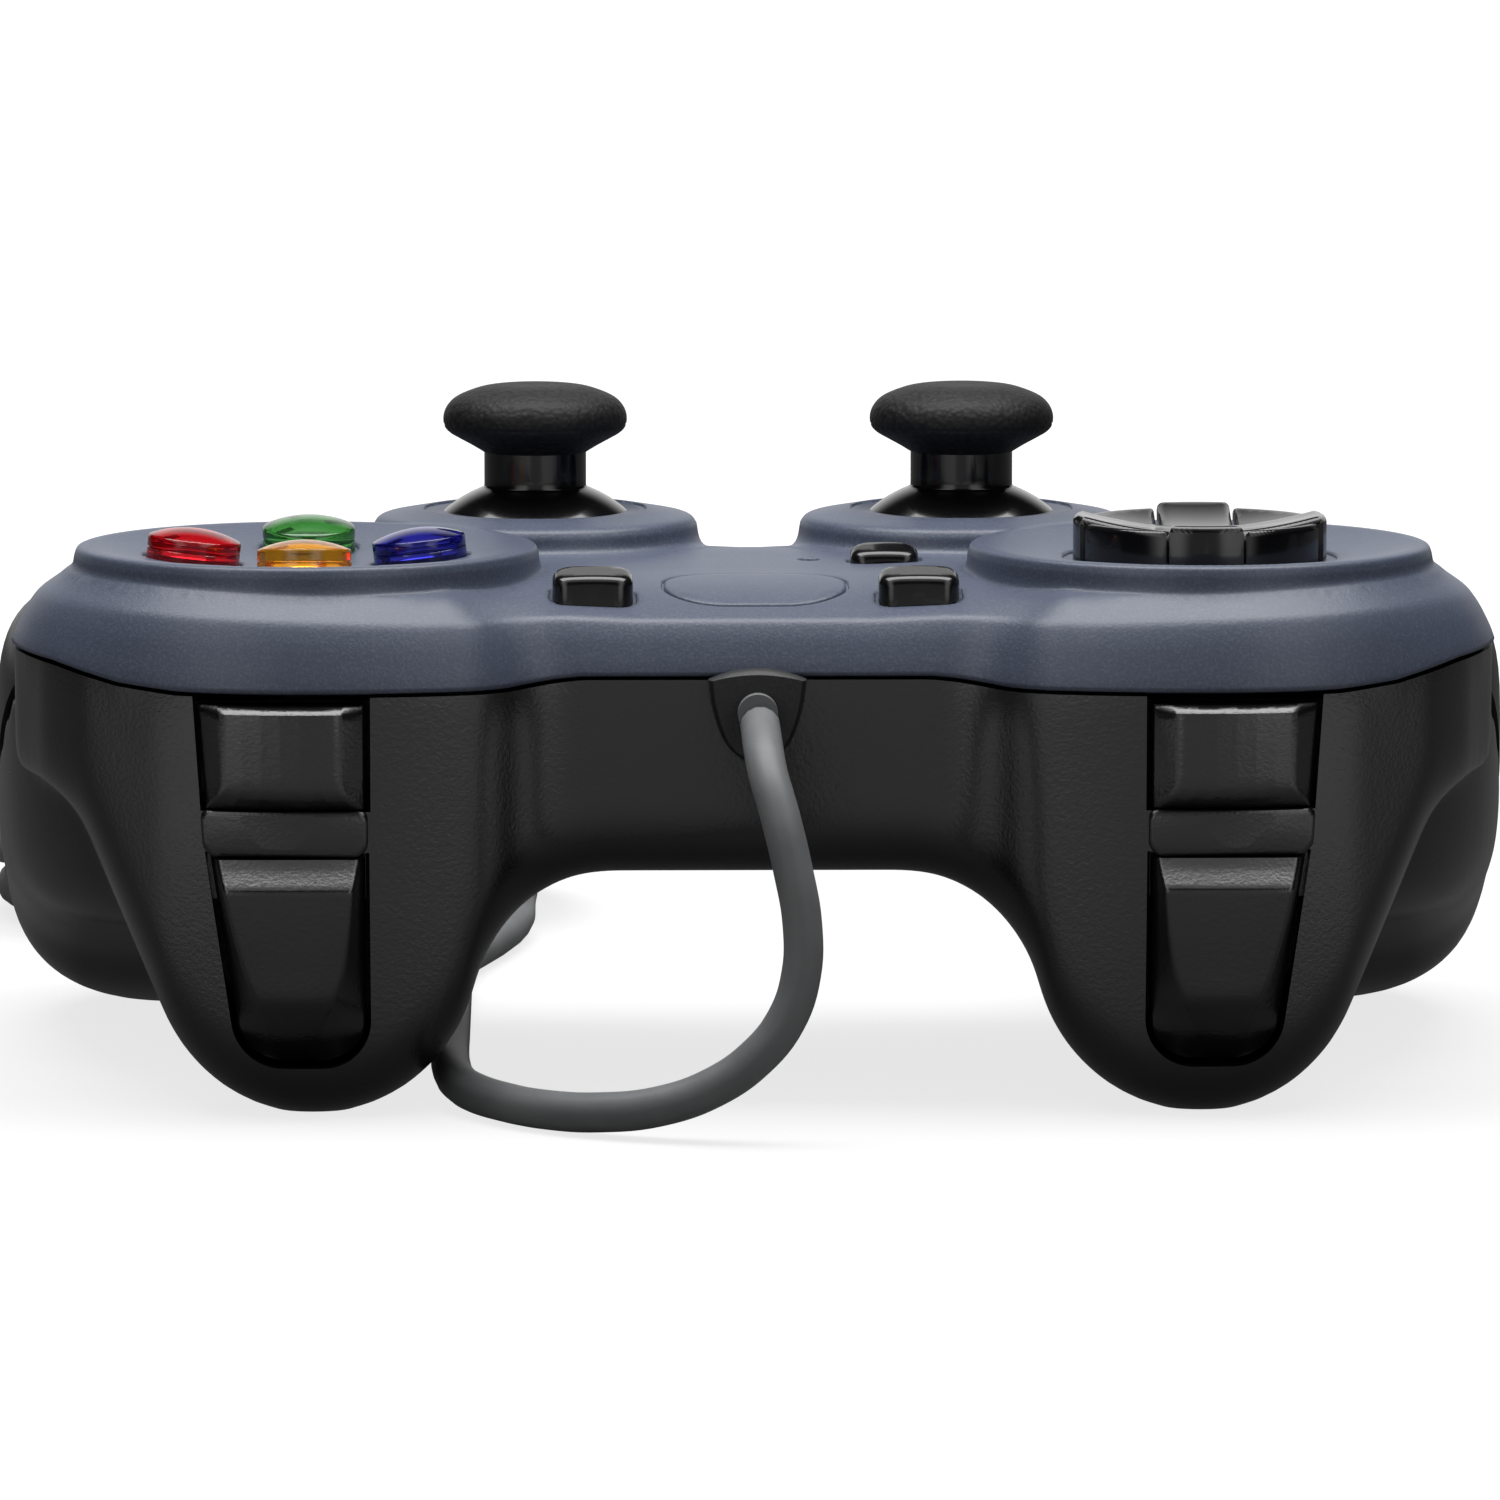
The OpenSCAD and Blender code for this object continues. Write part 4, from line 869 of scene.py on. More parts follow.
def coil_tie():
    """A flat strap round the coil."""
    high = COIL_LOW + COIL_STEP * (COIL_LAYERS - 1) + CORD_D / 2
    low_y = COIL_C.y + COIL_IN - CORD_D / 2
    high_y = COIL_C.y + COIL_OUT + CORD_D / 2
    mid = ((low_y + high_y) / 2, (high + TIE_FOOT) / 2 + TIE_FOOT / 2)
    rings = []
    for grow in (0.5, 1.2):
        half_w = (high_y - low_y) / 2 + grow - 0.1
        half_d = (high - TIE_FOOT) / 2 + grow - 0.2
        ring = slot_ring(mid, half_w, half_d, TIE_CORNER + grow, 0, 1.2)
        rings.append([Vector((COIL_C.x, p.x, max(0.1 if grow > 1 else 0.8, p.y))) for p in ring])
    rows = []
    for k, x in ((0, -TIE_HALF), (1, -TIE_HALF), (1, TIE_HALF), (0, TIE_HALF), (0, -TIE_HALF)):
        rows.append([p + Vector((x, 0, 0)) for p in rings[k]])
    bm = loft(rows, ends=False)
    bmesh.ops.remove_doubles(bm, verts=bm.verts, dist=1e-3)
    bmesh.ops.recalc_face_normals(bm, faces=bm.faces)
    bevelled(bm, 0.2, 50, 2)
    return piece("coil_tie", bm, MOULDED_RUBBER, "controller", "moulded_rubber", ["coil_tie"])


# Plug, along x from the cord's end: opposite corners of its blocks
PLUG_BODY = ((9, -7.8, -4.2), (38, 7.8, 4.2))
PLUG_GRIP = ((14, -6, 3.7), (30, 6, 4.35))
PLUG_SHELL = ((37.8, -6, -2.25), (50.6, 6, 2.25))
PLUG_MOUTH = ((40, -5.6, -0.2), (51, 5.6, 1.9))
LATCH_LOW = Vector((43.4, -1.1, 1))
LATCH_HIGH = Vector((45.8, 1.1, 3))
LATCH_Y = 2.9
RIB_R = 3.0
RIB_LOW_R = 2.5
RIB_PITCH = 2
RIBS = 4


def plug():
    """A moulded plug with a ribbed sleeve and a plain metal shell with two latching holes."""
    at = CORD_ROUTE[-1]
    way = at - CORD_ROUTE[-2]
    turn = Matrix.Rotation(math.atan2(way.y, way.x), 3, "Z")
    ribs = [(0.0, 2.1), (0.2, 2.9)]
    for k in range(RIBS):
        x = 0.8 + RIB_PITCH * k
        ribs += [(x, RIB_R), (x + 1.1, RIB_R), (x + 1.3, RIB_LOW_R), (x + 1.8, RIB_LOW_R)]
    ribs += [(9.2, RIB_R), (9.6, 0.0)]
    sleeve = lathe([(0, 0)] + [(r, x) for x, r in ribs], 40)
    placed(sleeve, (0, 0, 0), Matrix.Rotation(math.pi / 2, 3, "Y"))
    body = bevelled(box(*PLUG_BODY), 1.6, 30, 5)
    grip = bevelled(box(*PLUG_GRIP), 0.5, 30, 3)
    moulded = placed(joined(sleeve, body, grip), at, turn)
    shell = cut(box(*PLUG_SHELL), box(*PLUG_MOUTH))
    for y in (-LATCH_Y, LATCH_Y):
        across = Vector((0, y, 0))
        shell = cut(shell, box(LATCH_LOW + across, LATCH_HIGH + across))
    shell = placed(bevelled(shell, 0.15, 50, 2), at, turn)
    return [piece("plug_body", moulded, MOULDED_RUBBER, "controller", "moulded_rubber", ["plug_body"]),
            piece("plug_shell", shell, STEEL, "controller", "steel", ["plug_shell"])]


coil_tie()
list(plug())

FLOOR_HALF = 6.0
FLOOR_SHADE = 0.22
FLOOR_GLOW_NEAR = 0.78
MIRRORED_BAND = 0.7
MIRRORED_MIDDLE = 0.3
MIRRORED_REST = 0.08
MIRRORED_SHADE_LESS = 0.7


def stage():
    """A pale floor, white to the eye, that keeps the object's shadow and is dimmer in reflections."""
    bm = bmesh.new()
    bmesh.ops.create_grid(bm, x_segments=1, y_segments=1, size=FLOOR_HALF)
    mesh = bpy.data.meshes.new("floor")
    bm.to_mesh(mesh)
    bm.free()
    made, f = material("floor")
    paths = [f.node("LightPath", output=name)
             for name in ("Is Camera Ray", "Is Glossy Ray", "Is Transmission Ray")]
    place = f.node("TexCoord", output=3)
    across = f.maths("ABSOLUTE", f.node("SeparateXYZ", None, {0: place}), 0.0)
    front = f.ramp(0 - f.node("SeparateXYZ", None, {0: place}, output=1), 0.04, 0.14)
    band = f.ramp(across, 0.11, 0.17) * (1 - f.ramp(across, 0.35, 0.6))
    middle_part = 1 - f.ramp(across, 0.1, 0.25)
    shown = front * (band * MIRRORED_BAND + middle_part * MIRRORED_MIDDLE) + MIRRORED_REST
    seen = f.maths("MINIMUM", paths[0] + paths[1] * shown + paths[2], 1.0)
    far = f.ramp(f.node("VectorMath", {"operation": "LENGTH"}, {0: place}, output="Value"), 0.12, 0.5)
    lit = f.node("BsdfDiffuse", None, {"Color": (1 - paths[1] * MIRRORED_SHADE_LESS) * FLOOR_SHADE})
    bright = far * (1 - FLOOR_GLOW_NEAR) + FLOOR_GLOW_NEAR
    glow = f.node("Emission", None, {"Color": rgb(1, 1, 1), "Strength": seen * bright})
    f.node("OutputMaterial", None, {"Surface": f.node("AddShader", None, {0: lit, 1: glow})})
    mesh.materials.append(made)
    floor = bpy.data.objects.new("floor", mesh)
    bpy.context.scene.collection.objects.link(floor)


SHINE_ABOVE = 0.9
SHINE_AHEAD = 0.3
SHINE_BEHIND = 0.9
SHINE_STRIP = 1.5
SHINE_REST = 0.005
SOFT_ABOVE = 0.3
SOFT_REST = 0.06


def sky():
    """White to the eye. In reflections it is bright above, behind the object and beside the camera."""
    world = bpy.data.worlds.new("studio")
    bpy.context.scene.world = world
    world.use_nodes = True
    f = Finish(world.node_tree)
    eye = f.node("LightPath", output="Is Camera Ray")
    mirror = f.node("LightPath", output="Is Glossy Ray")
    through = f.node("LightPath", output="Is Transmission Ray")
    way = f.node("TexCoord", output="Generated")
    away = f.node("SeparateXYZ", None, {0: way}, output=1)
    side = f.maths("ABSOLUTE", f.node("SeparateXYZ", None, {0: way}), 0.0)
    up = f.node("SeparateXYZ", None, {0: way}, output=2)
    above = f.ramp(up, 0.72, 0.95)
    ahead = f.ramp(0 - away, 0.85, 0.98)
    behind = f.ramp(away, 0.75, 0.97)
    strip = f.ramp(side, 0.2, 0.42) * (1 - f.ramp(side, 0.55, 0.8)) * f.ramp(0 - away, 0.1, 0.3)
    strip = strip * f.ramp(up, -0.5, -0.2)
    seen = f.maths("MINIMUM", eye + through, 1.0)
    shine = above * SHINE_ABOVE + ahead * SHINE_AHEAD + behind * SHINE_BEHIND
    shine = shine + strip * SHINE_STRIP + SHINE_REST
    soft = f.ramp(up, 0.25, 0.95) * SOFT_ABOVE + SOFT_REST
    strength = seen + (1 - seen) * (mirror * shine + (1 - mirror) * soft)
    light = f.node("Background", None, {"Color": rgb(1, 1, 1), "Strength": strength})
    f.node("OutputWorld", None, {"Surface": light})


LAMP_PLACE = (0, 0.06, 0.62)
LAMP_AIM = (0, 0, 0.03)
LAMP_SIZE = (0.75, 0.36)
LAMP_POWER = 5.0


def lamp(name, place, aim, size, power):
    data = bpy.data.lights.new(name, "AREA")
    data.shape = "RECTANGLE"
    data.size, data.size_y = size
    data.energy = power
    thing = bpy.data.objects.new(name, data)
    thing.location = place
    thing.rotation_mode = "QUATERNION"
    thing.rotation_quaternion = (Vector(aim) - Vector(place)).to_track_quat("-Z", "Y")
    bpy.context.scene.collection.objects.link(thing)


stage()
sky()
lamp("overhead", LAMP_PLACE, LAMP_AIM, LAMP_SIZE, LAMP_POWER)
bpy.context.scene.view_settings.view_transform = "Standard"


# Solid forms that the shells come from

lobe_c = Vector((LOBE_X, LOBE_R - FOOT_FLAT))
belly_reach = LOBE_R + LOBE_FILLET
belly_drop = BELLY_Z - LOBE_FILLET - lobe_c.y
belly_c = Vector((LOBE_X - math.sqrt(belly_reach ** 2 - belly_drop ** 2), BELLY_Z - LOBE_FILLET))
flank = math.radians(FLANK)
flank_end = lobe_c + LOBE_R * Vector((math.sin(flank), -math.cos(flank)))
hip_start_z = HIP_Z - HIP_FILLET + HIP_FILLET * math.cos(flank)
hip_c = Vector((flank_end.x + (hip_start_z - flank_end.y) / math.tan(flank) + HIP_FILLET * math.sin(flank),
                HIP_Z - HIP_FILLET))


def under(d):
    """Lower edge of the front wall in the front view, drawn in by d, from one side to the other."""
    half = [Vector((belly_c.x * i / 8, BELLY_Z + d)) for i in range(8)]
    half += arc(belly_c, LOBE_FILLET + d, 90, heading(belly_c, lobe_c), 18)
    half += arc(lobe_c, LOBE_R - d, heading(lobe_c, belly_c) + 360, 270 + FLANK, 40)[1:]
    half += arc(hip_c, HIP_FILLET + d, 90 + FLANK, 112, 8)
    half += [Vector((DISC.x + BODY_R - d - 0.4, HIP_Z + d))]
    return [Vector((-p.x, p.y)) for p in reversed(half[1:])] + half


def beam_ring(p, d, top):
    """Section of the front wall and lobe at one place of its lower edge."""
    front = front_at(p.x, d)
    rear = min(LOBE_REAR_Y, 2 * DISC.y - front_at(p.x)) - d
    r = min(LOBE_EDGE_R - d, 0.45 * (SEAM_Z - p.y), 0.45 * (rear - front))
    low_front = front + FRONT_LEAN * (SEAM_Z - p.y) / SEAM_Z
    line = [Vector((front, top)), Vector((front, SEAM_Z - 1))]
    line += arc((low_front + r, p.y + r), r, 180, 270, 10)
    line += arc((rear - r, p.y + r), r, 270, 360, 8)
    line += [Vector((rear, top))]
    return [Vector((p.x, q.x, q.y)) for q in line]


def beam(d, top):
    return loft([beam_ring(p, d, top) for p in under(d)])


def slab(d, top):
    rows = rounded([(7, REAR_BELLY_Z + d), (4, REAR_BELLY_Z + 0.6 + d), (1.8, REAR_BELLY_Z + 2.5 + d),
                    (0.7, REAR_BELLY_Z + 6), (0.09, top)], 1.4, 3)
    return loft([[Vector((p.x, p.y, z)) for p in outline(shrink + d, 0.5)] for shrink, z in rows])


# share of the length, sideways shift, middle height, width share, half height, squareness
HANDLE = [(0, -6.2, 31, 0.5, 8, 2.4), (0.1, -3.7, 31, 0.775, 13, 2.8), (0.22, -1.5, 31.2, 0.93, 16.3, 3.3),
          (0.365, -0.2, 31, 0.99, 18.4, 3.9), (0.51, 0.1, 28, 1, 19.8, 3.8), (0.63, 0.3, 24, 0.98, 21, 3.7),
          (0.74, -0.2, 20.8, 0.92, 20.5, 3.3), (0.837, -1, 18.3, 0.81, 18.2, 2.8),
          (0.91, -1.7, 17, 0.65, 14.8, 2.4), (0.965, -2.3, 16.3, 0.45, 10.3, 2.1), (1, -2.6, 16, 0.16, 4, 2)]
HANDLE_SIDES = 72
HANDLE_ROWS = 70


def powered(v, p):
    return math.copysign(abs(v) ** p, v)


def handle(d):
    """The left handle as a closed form."""
    rings = []
    for k in range(HANDLE_ROWS + 1):
        share = math.sin(math.pi / 2 * k / HANDLE_ROWS)
        _, shift, mid, width, half, square = eased(HANDLE, min(share, 0.9999))
        y = HANDLE_ROOT_Y + d + (HANDLE_TIP_Y - HANDLE_ROOT_Y - 2 * d) * share
        ring = []
        for i in range(HANDLE_SIDES):
            turn = 2 * math.pi * (i + 0.5) / HANDLE_SIDES
            x = HANDLE_X + shift - max(0.3, HANDLE_RX * width - d) * powered(math.cos(turn), 2 / square)
            z = mid + max(0.3, half - d) * powered(math.sin(turn), 2 / square)
            ring.append(Vector((x, y, z)))
        rings.append(ring)
    return loft(rings)


def split(bm, lift, upper):
    """Keeps what lies above or below the sloping parting, raised by lift, and closes the cut."""
    normal = Vector((0, PARTING_FALL, 1)).normalized()
    cut_at = (0, PARTING_Y, SEAM_Z + lift)
    bmesh.ops.bisect_plane(bm, geom=bm.verts[:] + bm.edges[:] + bm.faces[:], plane_co=cut_at, plane_no=normal,
                           clear_outer=not upper, clear_inner=upper)
    bmesh.ops.holes_fill(bm, edges=[e for e in bm.edges if e.is_boundary])
    bmesh.ops.recalc_face_normals(bm, faces=bm.faces)
    return bm


# Lower shell

SCREWS = [(25.4, -25), (-25.4, -25), (0, 13), (DISC.x + 23.6, DISC.y), (-DISC.x - 23.6, DISC.y)]
# The pockets of the two side screws stay closed, so that the handles' fronts are plain
OPEN_SCREWS = SCREWS[:3]
GRIP_SCREWS = [(57, 24), (-57, 24)]
GRIP_SEAT_Z = 6
HEAD_R = 2.5
SHANK_R = 1.2
CROSS = (2.6, 0.6)
POCKET_R = 2.8
BOSS_R = 4.2
MELT_GRAIN = 0.8
MELT_PASSES = 10


def seat_z(place):
    """Height of the seat of a screw's head."""
    if place in GRIP_SCREWS:
        return GRIP_SEAT_Z
    return (BELLY_Z if place[1] < LOBE_REAR_Y and abs(place[0]) < LOBE_X else REAR_BELLY_Z) + 4


def upright(ring, y0, y1):
    """A block whose outline is drawn in x and z."""
    return loft([[Vector((p.x, y, p.y)) for p in ring] for y in (y0, y1)])


def bumper_ring(gap, top):
    inner = WINDOW_IN_X + gap
    outer = WINDOW_OUT_X - gap
    low = BUMPER_LOW_Z + gap
    return [Vector(p) for p in ((inner, low), (outer - WINDOW_SLANT, low), (outer, top), (inner, top))]


TRIGGER_IN_C = Vector((WINDOW_IN_X + 4.83, TRIGGER_LOW_Z + TRIGGER_IN_R))
TRIGGER_OUT_C = Vector((TRIGGER_OUT_X - 7.7, TRIGGER_LOW_Z + TRIGGER_OUT_R))


def trigger_ring(gap):
    """Outline of a trigger's window in the front view, drawn in by gap."""
    top = TRIGGER_TOP_Z - gap
    ring = [Vector((TRIGGER_OUT_X - gap, top)), Vector((WINDOW_IN_X + 0.13 + gap, top))]
    ring += arc(TRIGGER_IN_C, TRIGGER_IN_R - gap, 180, 270, 12)
    ring += arc(TRIGGER_OUT_C, TRIGGER_OUT_R - gap, 270, 351, 12)
    return ring


def above_seam():
    """Everything above the lower shell's edge."""
    bm = bmesh.new()
    bmesh.ops.create_grid(bm, x_segments=200, y_segments=100, size=100)
    for v in bm.verts:
        v.co.z = SEAM_Z - SEAM_GAP + rise(SEAM_RISE, v.co.x, v.co.y)
    made = bmesh.ops.extrude_face_region(bm, geom=bm.faces[:])["geom"]
    levelled(made, SEAM_Z + 30)
    bmesh.ops.recalc_face_normals(bm, faces=bm.faces)
    return bm


def bottom_shell():
    top = SEAM_Z + 4
    forms = joined(slab(0, top), beam(0, top), split(handle(0), PARTING_LIFT, False),
                   mirrored(split(handle(0), PARTING_LIFT, False)))
    shell = melted(forms, MELT_GRAIN, MELT_PASSES)
    shell = cut(shell, above_seam())
    shell = cut(shell, box((-100, -80, -9), (100, 80, 0)))
    hollows = [slab(WALL, top), beam(WALL, top), handle(WALL), mirrored(handle(WALL))]
    for hollow in hollows:
        for x, y in OPEN_SCREWS + GRIP_SCREWS:
            hollow = cut(hollow, rod((x, y, -1), (x, y, SEAM_Z), BOSS_R))
        shell = cut(shell, hollow)
    for x, y in OPEN_SCREWS + GRIP_SCREWS:
        shell = cut(shell, rod((x, y, -1), (x, y, seat_z((x, y))), POCKET_R))
    for side in SIDES.values():
        deep = DISC.y - BODY_R + 8
        shell = cut(shell, on_side(upright(bumper_ring(0, SEAM_Z + 2), -60, deep), side))
        shell = cut(shell, on_side(upright(trigger_ring(0), -60, deep), side))
    notch_low = (-NOTCH_HALF, -50, GLAND_Z - NOTCH_DROP)
    shell = cut(shell, box(notch_low, (NOTCH_HALF, FRONT_Y + WALL + 1.4, SEAM_Z + 1)))
    return piece("bottom_shell", shell, BLACK_GRAIN, "controller", "black_shell", ["bottom_shell"])


# Upper shell

dish_low = CREST_Z - CREST_R ** 2 / (2 * DISH_R)
WALL_LINE = [(0, SEAM_Z + SEAM_GAP), (0.35, 44.2), (1.55, 47.3), (2.75, CREASE_Z)]
DECK_LINE = rounded(WALL_LINE + [(9, 50.95), (14, 51.7), (20, CROWN_Z), (40, CROWN_Z)],
                    [0, 0.8, 1.2, 0.75, 2, 3, 3, 0], 5)
BAND_LINE = rounded(WALL_LINE + [(6.2, 51.75), (8.5, CROWN_Z), (40, CROWN_Z)],
                    [0, 0.8, 1.2, 0.75, 0.8, 1, 0], 5)
DISC_TOP = rounded([(CREST_R, CREST_Z), (DISC_WALL_R - 0.3, CREST_Z - 0.03), (DISC_WALL_R, CREST_Z - 1)],
                   0.9, 5)
COLLAR_TOP = rounded([(COLLAR_HOLE_R, 55.35), (16.3, 54.5), (COLLAR_WALL_R, 53.7)], 0.8, 5)
WALL_FOOT = [(0, 1), (0.03, 0.86), (0.06, 0.7), (0.09, 0.55), (0.14, 0.4), (0.22, 0.26), (0.34, 0.14),
             (0.5, 0.06), (0.7, 0.015), (1, 0)]
MEET = 0.35


def dish_z(r):
    return dish_low + DISH_R - math.sqrt(DISH_R ** 2 - r * r)


def foot_z(r, wall_r, wall_z, foot, deck):
    """Height of a steep wall with a hollow foot."""
    return deck + (wall_z - deck) * along(WALL_FOOT, min(1, (r - wall_r) / foot))


def disc_z(r, deck):
    if r <= CREST_R:
        return dish_z(r)
    return along(DISC_TOP, r) if r <= DISC_WALL_R else foot_z(r, DISC_WALL_R, DISC_TOP[-1].y, DISC_FOOT, deck)


def collar_z(r, deck):
    if r <= COLLAR_WALL_R:
        return along(COLLAR_TOP, r)
    return foot_z(r, COLLAR_WALL_R, COLLAR_TOP[-1].y, COLLAR_FOOT, deck)


def soft_max(a, b):
    near = max(0.0, MEET - abs(a - b))
    return max(a, b) + near * near / (4 * MEET)


FACE_PLACES = {"red": (-1, 0), "blue": (1, 0), "green": (0, 1), "yellow": (0, -1)}


def face_centre(colour):
    px, py = FACE_PLACES[colour]
    return Vector((-DISC.x + FACE_PITCH * px, DISC.y + FACE_PITCH * py))


def small_size(node, flange):
    """Half width and half depth of a button, less its flange."""
    low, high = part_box(node)
    size = (high - low) / (2 * MM)
    return size.x - flange[0], size.y - flange[1]


SMALL_FLANGE = (0.9, 0.2)
HOME_FLANGE = (1.0, 0.2)
SMALL_W, SMALL_D = small_size("back_button", SMALL_FLANGE)
MODE_W, MODE_D = small_size("mode_button", SMALL_FLANGE)
HOME_W, HOME_D = small_size("home_button", HOME_FLANGE)
HOME_CORNER = HOME_D - 0.5
SMALL_CORNER = 1.6
SMALL_FALL = 0.9


def round_hole(centre, radius):
    return (centre, radius, radius, radius)


HOLES = [round_hole(DISC, DPAD_HOLE_R), round_hole(STICK, COLLAR_HOLE_R),
         round_hole((-STICK.x, STICK.y), COLLAR_HOLE_R), round_hole(LED, LED_HOLE_R)]
HOLES += [round_hole(face_centre(colour), FACE_R + BUTTON_GAP) for colour in FACE_PLACES]
HOLES += [(c, SMALL_W + BUTTON_GAP, SMALL_D + BUTTON_GAP, SMALL_CORNER + BUTTON_GAP) for c in (BACK, START)]
HOLES += [(MODE, MODE_W + BUTTON_GAP, MODE_D + BUTTON_GAP, SMALL_CORNER + BUTTON_GAP),
          (HOME, HOME_W + HOME_GAP, HOME_D + HOME_GAP, HOME_CORNER + HOME_GAP)]
HOLE_EDGE = 0.3
HOLE_WALL = 0.9
HOLE_ROWS = (0.0, 0.04, 0.1, 0.19, 0.3, 0.55)
RIM_ROWS = (0.0, 0.12, 0.25, 0.4, 0.65, 0.95, 1.25, 1.55, 1.85, 2.1, 2.3, 2.5, 2.7, 2.9, 3.1, 3.35)
DECK_ROWS = (4.0, 4.8, 5.8, 7.0, 8.4, 10.0, 12.0, 14.0)
WALL_ROWS = [share for share, _ in WALL_FOOT]
CREST_ROWS = (1.5, 3, 4.5, 6, 7.5, 9, 10.5, 12, 13.5, 15, 16.5, 18, 19.4, 20.6, 21.4, 21.9, 22.25, 22.5,
              22.7, 22.87, 23.02, 23.15, 23.26, 23.36, 23.44, 23.5, 23.55)
COLLAR_ROWS = (12.4, 13.2, 14, 14.8, 15.4, 15.8, 16.1, 16.3, 16.45, 16.57, 16.68)
MEETING = (20.9, 25.7, 19.3)


def to_disc(x, y):
    return math.hypot(abs(x) - DISC.x, y - DISC.y)


def to_stick(x, y):
    return math.hypot(abs(x) - STICK.x, y - STICK.y)


def meeting(p):
    """Where a disc runs into a collar."""
    return MEETING[0] < to_disc(*p) < MEETING[1] and to_stick(*p) < MEETING[2]


def deck_z(x, y, depth):
    """Height of the bare deck. Its front edge is steep before the discs and gentle between them."""
    steep = along([(20, 0), (31, 1)], abs(x)) * along([(-8, 1), (8, 0)], y)
    z = along(DECK_LINE, depth) * (1 - steep) + along(BAND_LINE, depth) * steep
    share = min(1, max(0, (z - WALL_LINE[0][1]) / (CREASE_Z - WALL_LINE[0][1])))
    return z + (1 - share) * rise(SEAM_RISE, x, y) + share * rise(CREASE_RISE, x, y)


def deck_height(x, y):
    deck = deck_z(x, y, inset(x, y))
    disc = disc_z(to_disc(x, y), deck)
    collar = collar_z(to_stick(x, y), deck)
    z = deck if max(disc, collar) <= deck else soft_max(disc, collar)
    gap = min(slot_gap(hole, x, y) for hole in HOLES)
    return z - edge_drop(gap, HOLE_EDGE)


WALL_POINTS = 320


def rows_round(centre, radii, step, steep_r):
    """Staggered rings of points. From steep_r on they stand in line, so that walls shade evenly."""
    points = []
    for k, r in enumerate(radii):
        count = WALL_POINTS if r > steep_r else max(12, round(2 * math.pi * r / step))
        points += circle(centre, r, count, 0 if r > steep_r else 180 / count * (k % 2))
    return points


def top_shell():
    disc_rows = list(CREST_ROWS) + [DISC_WALL_R + DISC_FOOT * t for t in WALL_ROWS]
    collar_rows = list(COLLAR_ROWS) + [COLLAR_WALL_R + COLLAR_FOOT * t for t in WALL_ROWS]
    disc_zone = disc_rows[-1] + 0.4
    collar_zone = collar_rows[-1] + 0.3
    clear_of_rim = RIM_ROWS[-1] + 0.2

    def on_deck(p, depth):
        return to_disc(*p) > disc_zone and to_stick(*p) > collar_zone and inset(*p) > depth

    loose = [p for d in RIM_ROWS[1:] for p in outline(d)]
    spread = []
    for side in SIDES.values():
        spread += [p for p in rows_round((side * DISC.x, DISC.y), disc_rows, 0.9, CREST_R) if not meeting(p)]
        spread += [p for p in rows_round((side * STICK.x, STICK.y), collar_rows, 0.8, 15.6)
                   if to_disc(*p) > disc_zone and inset(*p) > clear_of_rim]
        spread += [p for p in hexagons((side * 36 - 20, -20), (side * 36 + 20, 20), 0.42) if meeting(p)]
    spread += [p for d in DECK_ROWS for p in outline(d, 0.7) if on_deck(p, d - 0.05)]
    spread += [p for p in hexagons((-76, -42), (76, 30), 1.5) if on_deck(p, DECK_ROWS[-1] + 0.8)]
    loops = [outline(0)]
    for centre, half_w, half_d, corner in HOLES:
        loops.append(slot_ring(centre, half_w, half_d, corner))
        loose += [p for grow in HOLE_ROWS[1:] for p in slot_ring(centre, half_w, half_d, corner, grow)]
    loose += [p for p in spread if min(slot_gap(hole, p.x, p.y) for hole in HOLES) > HOLE_ROWS[-1] + 0.3]
    shell = plate(loops, loose, deck_height)
    rims = [e for e in shell.edges if e.is_boundary and e.verts[0].co.z > CREASE_Z - 1.5]
    walls = bmesh.ops.extrude_edge_only(shell, edges=rims)["geom"]
    for v in walls:
        if isinstance(v, bmesh.types.BMVert):
            v.co.z -= HOLE_WALL
    bmesh.ops.recalc_face_normals(shell, faces=shell.faces)
    thing = piece("top_shell", shell, BLUE_SATIN, "controller", "blue_plastic", ["top_shell"], 50)
    thickness = thing.modifiers.new("wall", "SOLIDIFY")
    thickness.thickness = TOP_WALL * MM
    thickness.offset = -1
    return thing


# Grip covers

def grip_cover(name, side):
    cover = split(handle(0), PARTING_LIFT + PARTING_GAP, True)
    cover = cut(cover, slab(-COVER_GAP, SEAM_Z))
    cover = cut(cover, beam(-COVER_GAP, SEAM_Z))
    rows = [[Vector((p.x, p.y, SEAM_Z - 0.6)) for p in outline(-COVER_GAP, 0.5)]]
    for q in DECK_LINE:
        if q.x <= 9:
            rows.append([Vector((p.x, p.y, deck_z(p.x, p.y, q.x))) for p in outline(q.x - COVER_GAP, 0.5)])
    cover = cut(cover, loft(rows))
    cover = cut(cover, handle(WALL))
    return piece(name, on_side(cover, side), BLACK_GRIP, "controller", "black_grip", [name])


# Shoulder controls

def lobe_front(x, z):
    """Front of a lobe at a place of the front view, above its lower round."""
    return front_at(x) + FRONT_LEAN * (SEAM_Z - z) / SEAM_Z


def keyed(rows):
    """A skin through level sections, each a line in x and y closed at the back."""
    rings = []
    for z, line in rows:
        rings.append([Vector((p.x, p.y, z)) for p in line])
    return loft(rings)


# height, plateau's inner and outer edge, how far it stands out
BUMPER_ROWS = [(31.2, 39.6, 55.0, -0.2), (31.7, 40.1, 54.6, 0.4), (32.3, 40.8, 54.0, 0.95),
               (32.9, 41.3, 53.5, 1.25), (33.6, 41.6, 53.25, 1.37), (34.6, 41.7, 53.2, 1.4),
               (37, 41.7, 53.25, 1.4), (40, 41.7, 53.3, 1.4), (40.8, 41.7, 53.3, 1.35),
               (41.05, 41.7, 53.3, 1.1), (41.4, 41.7, 53.3, 0.5), (41.55, 41.7, 53.3, 0.1)]


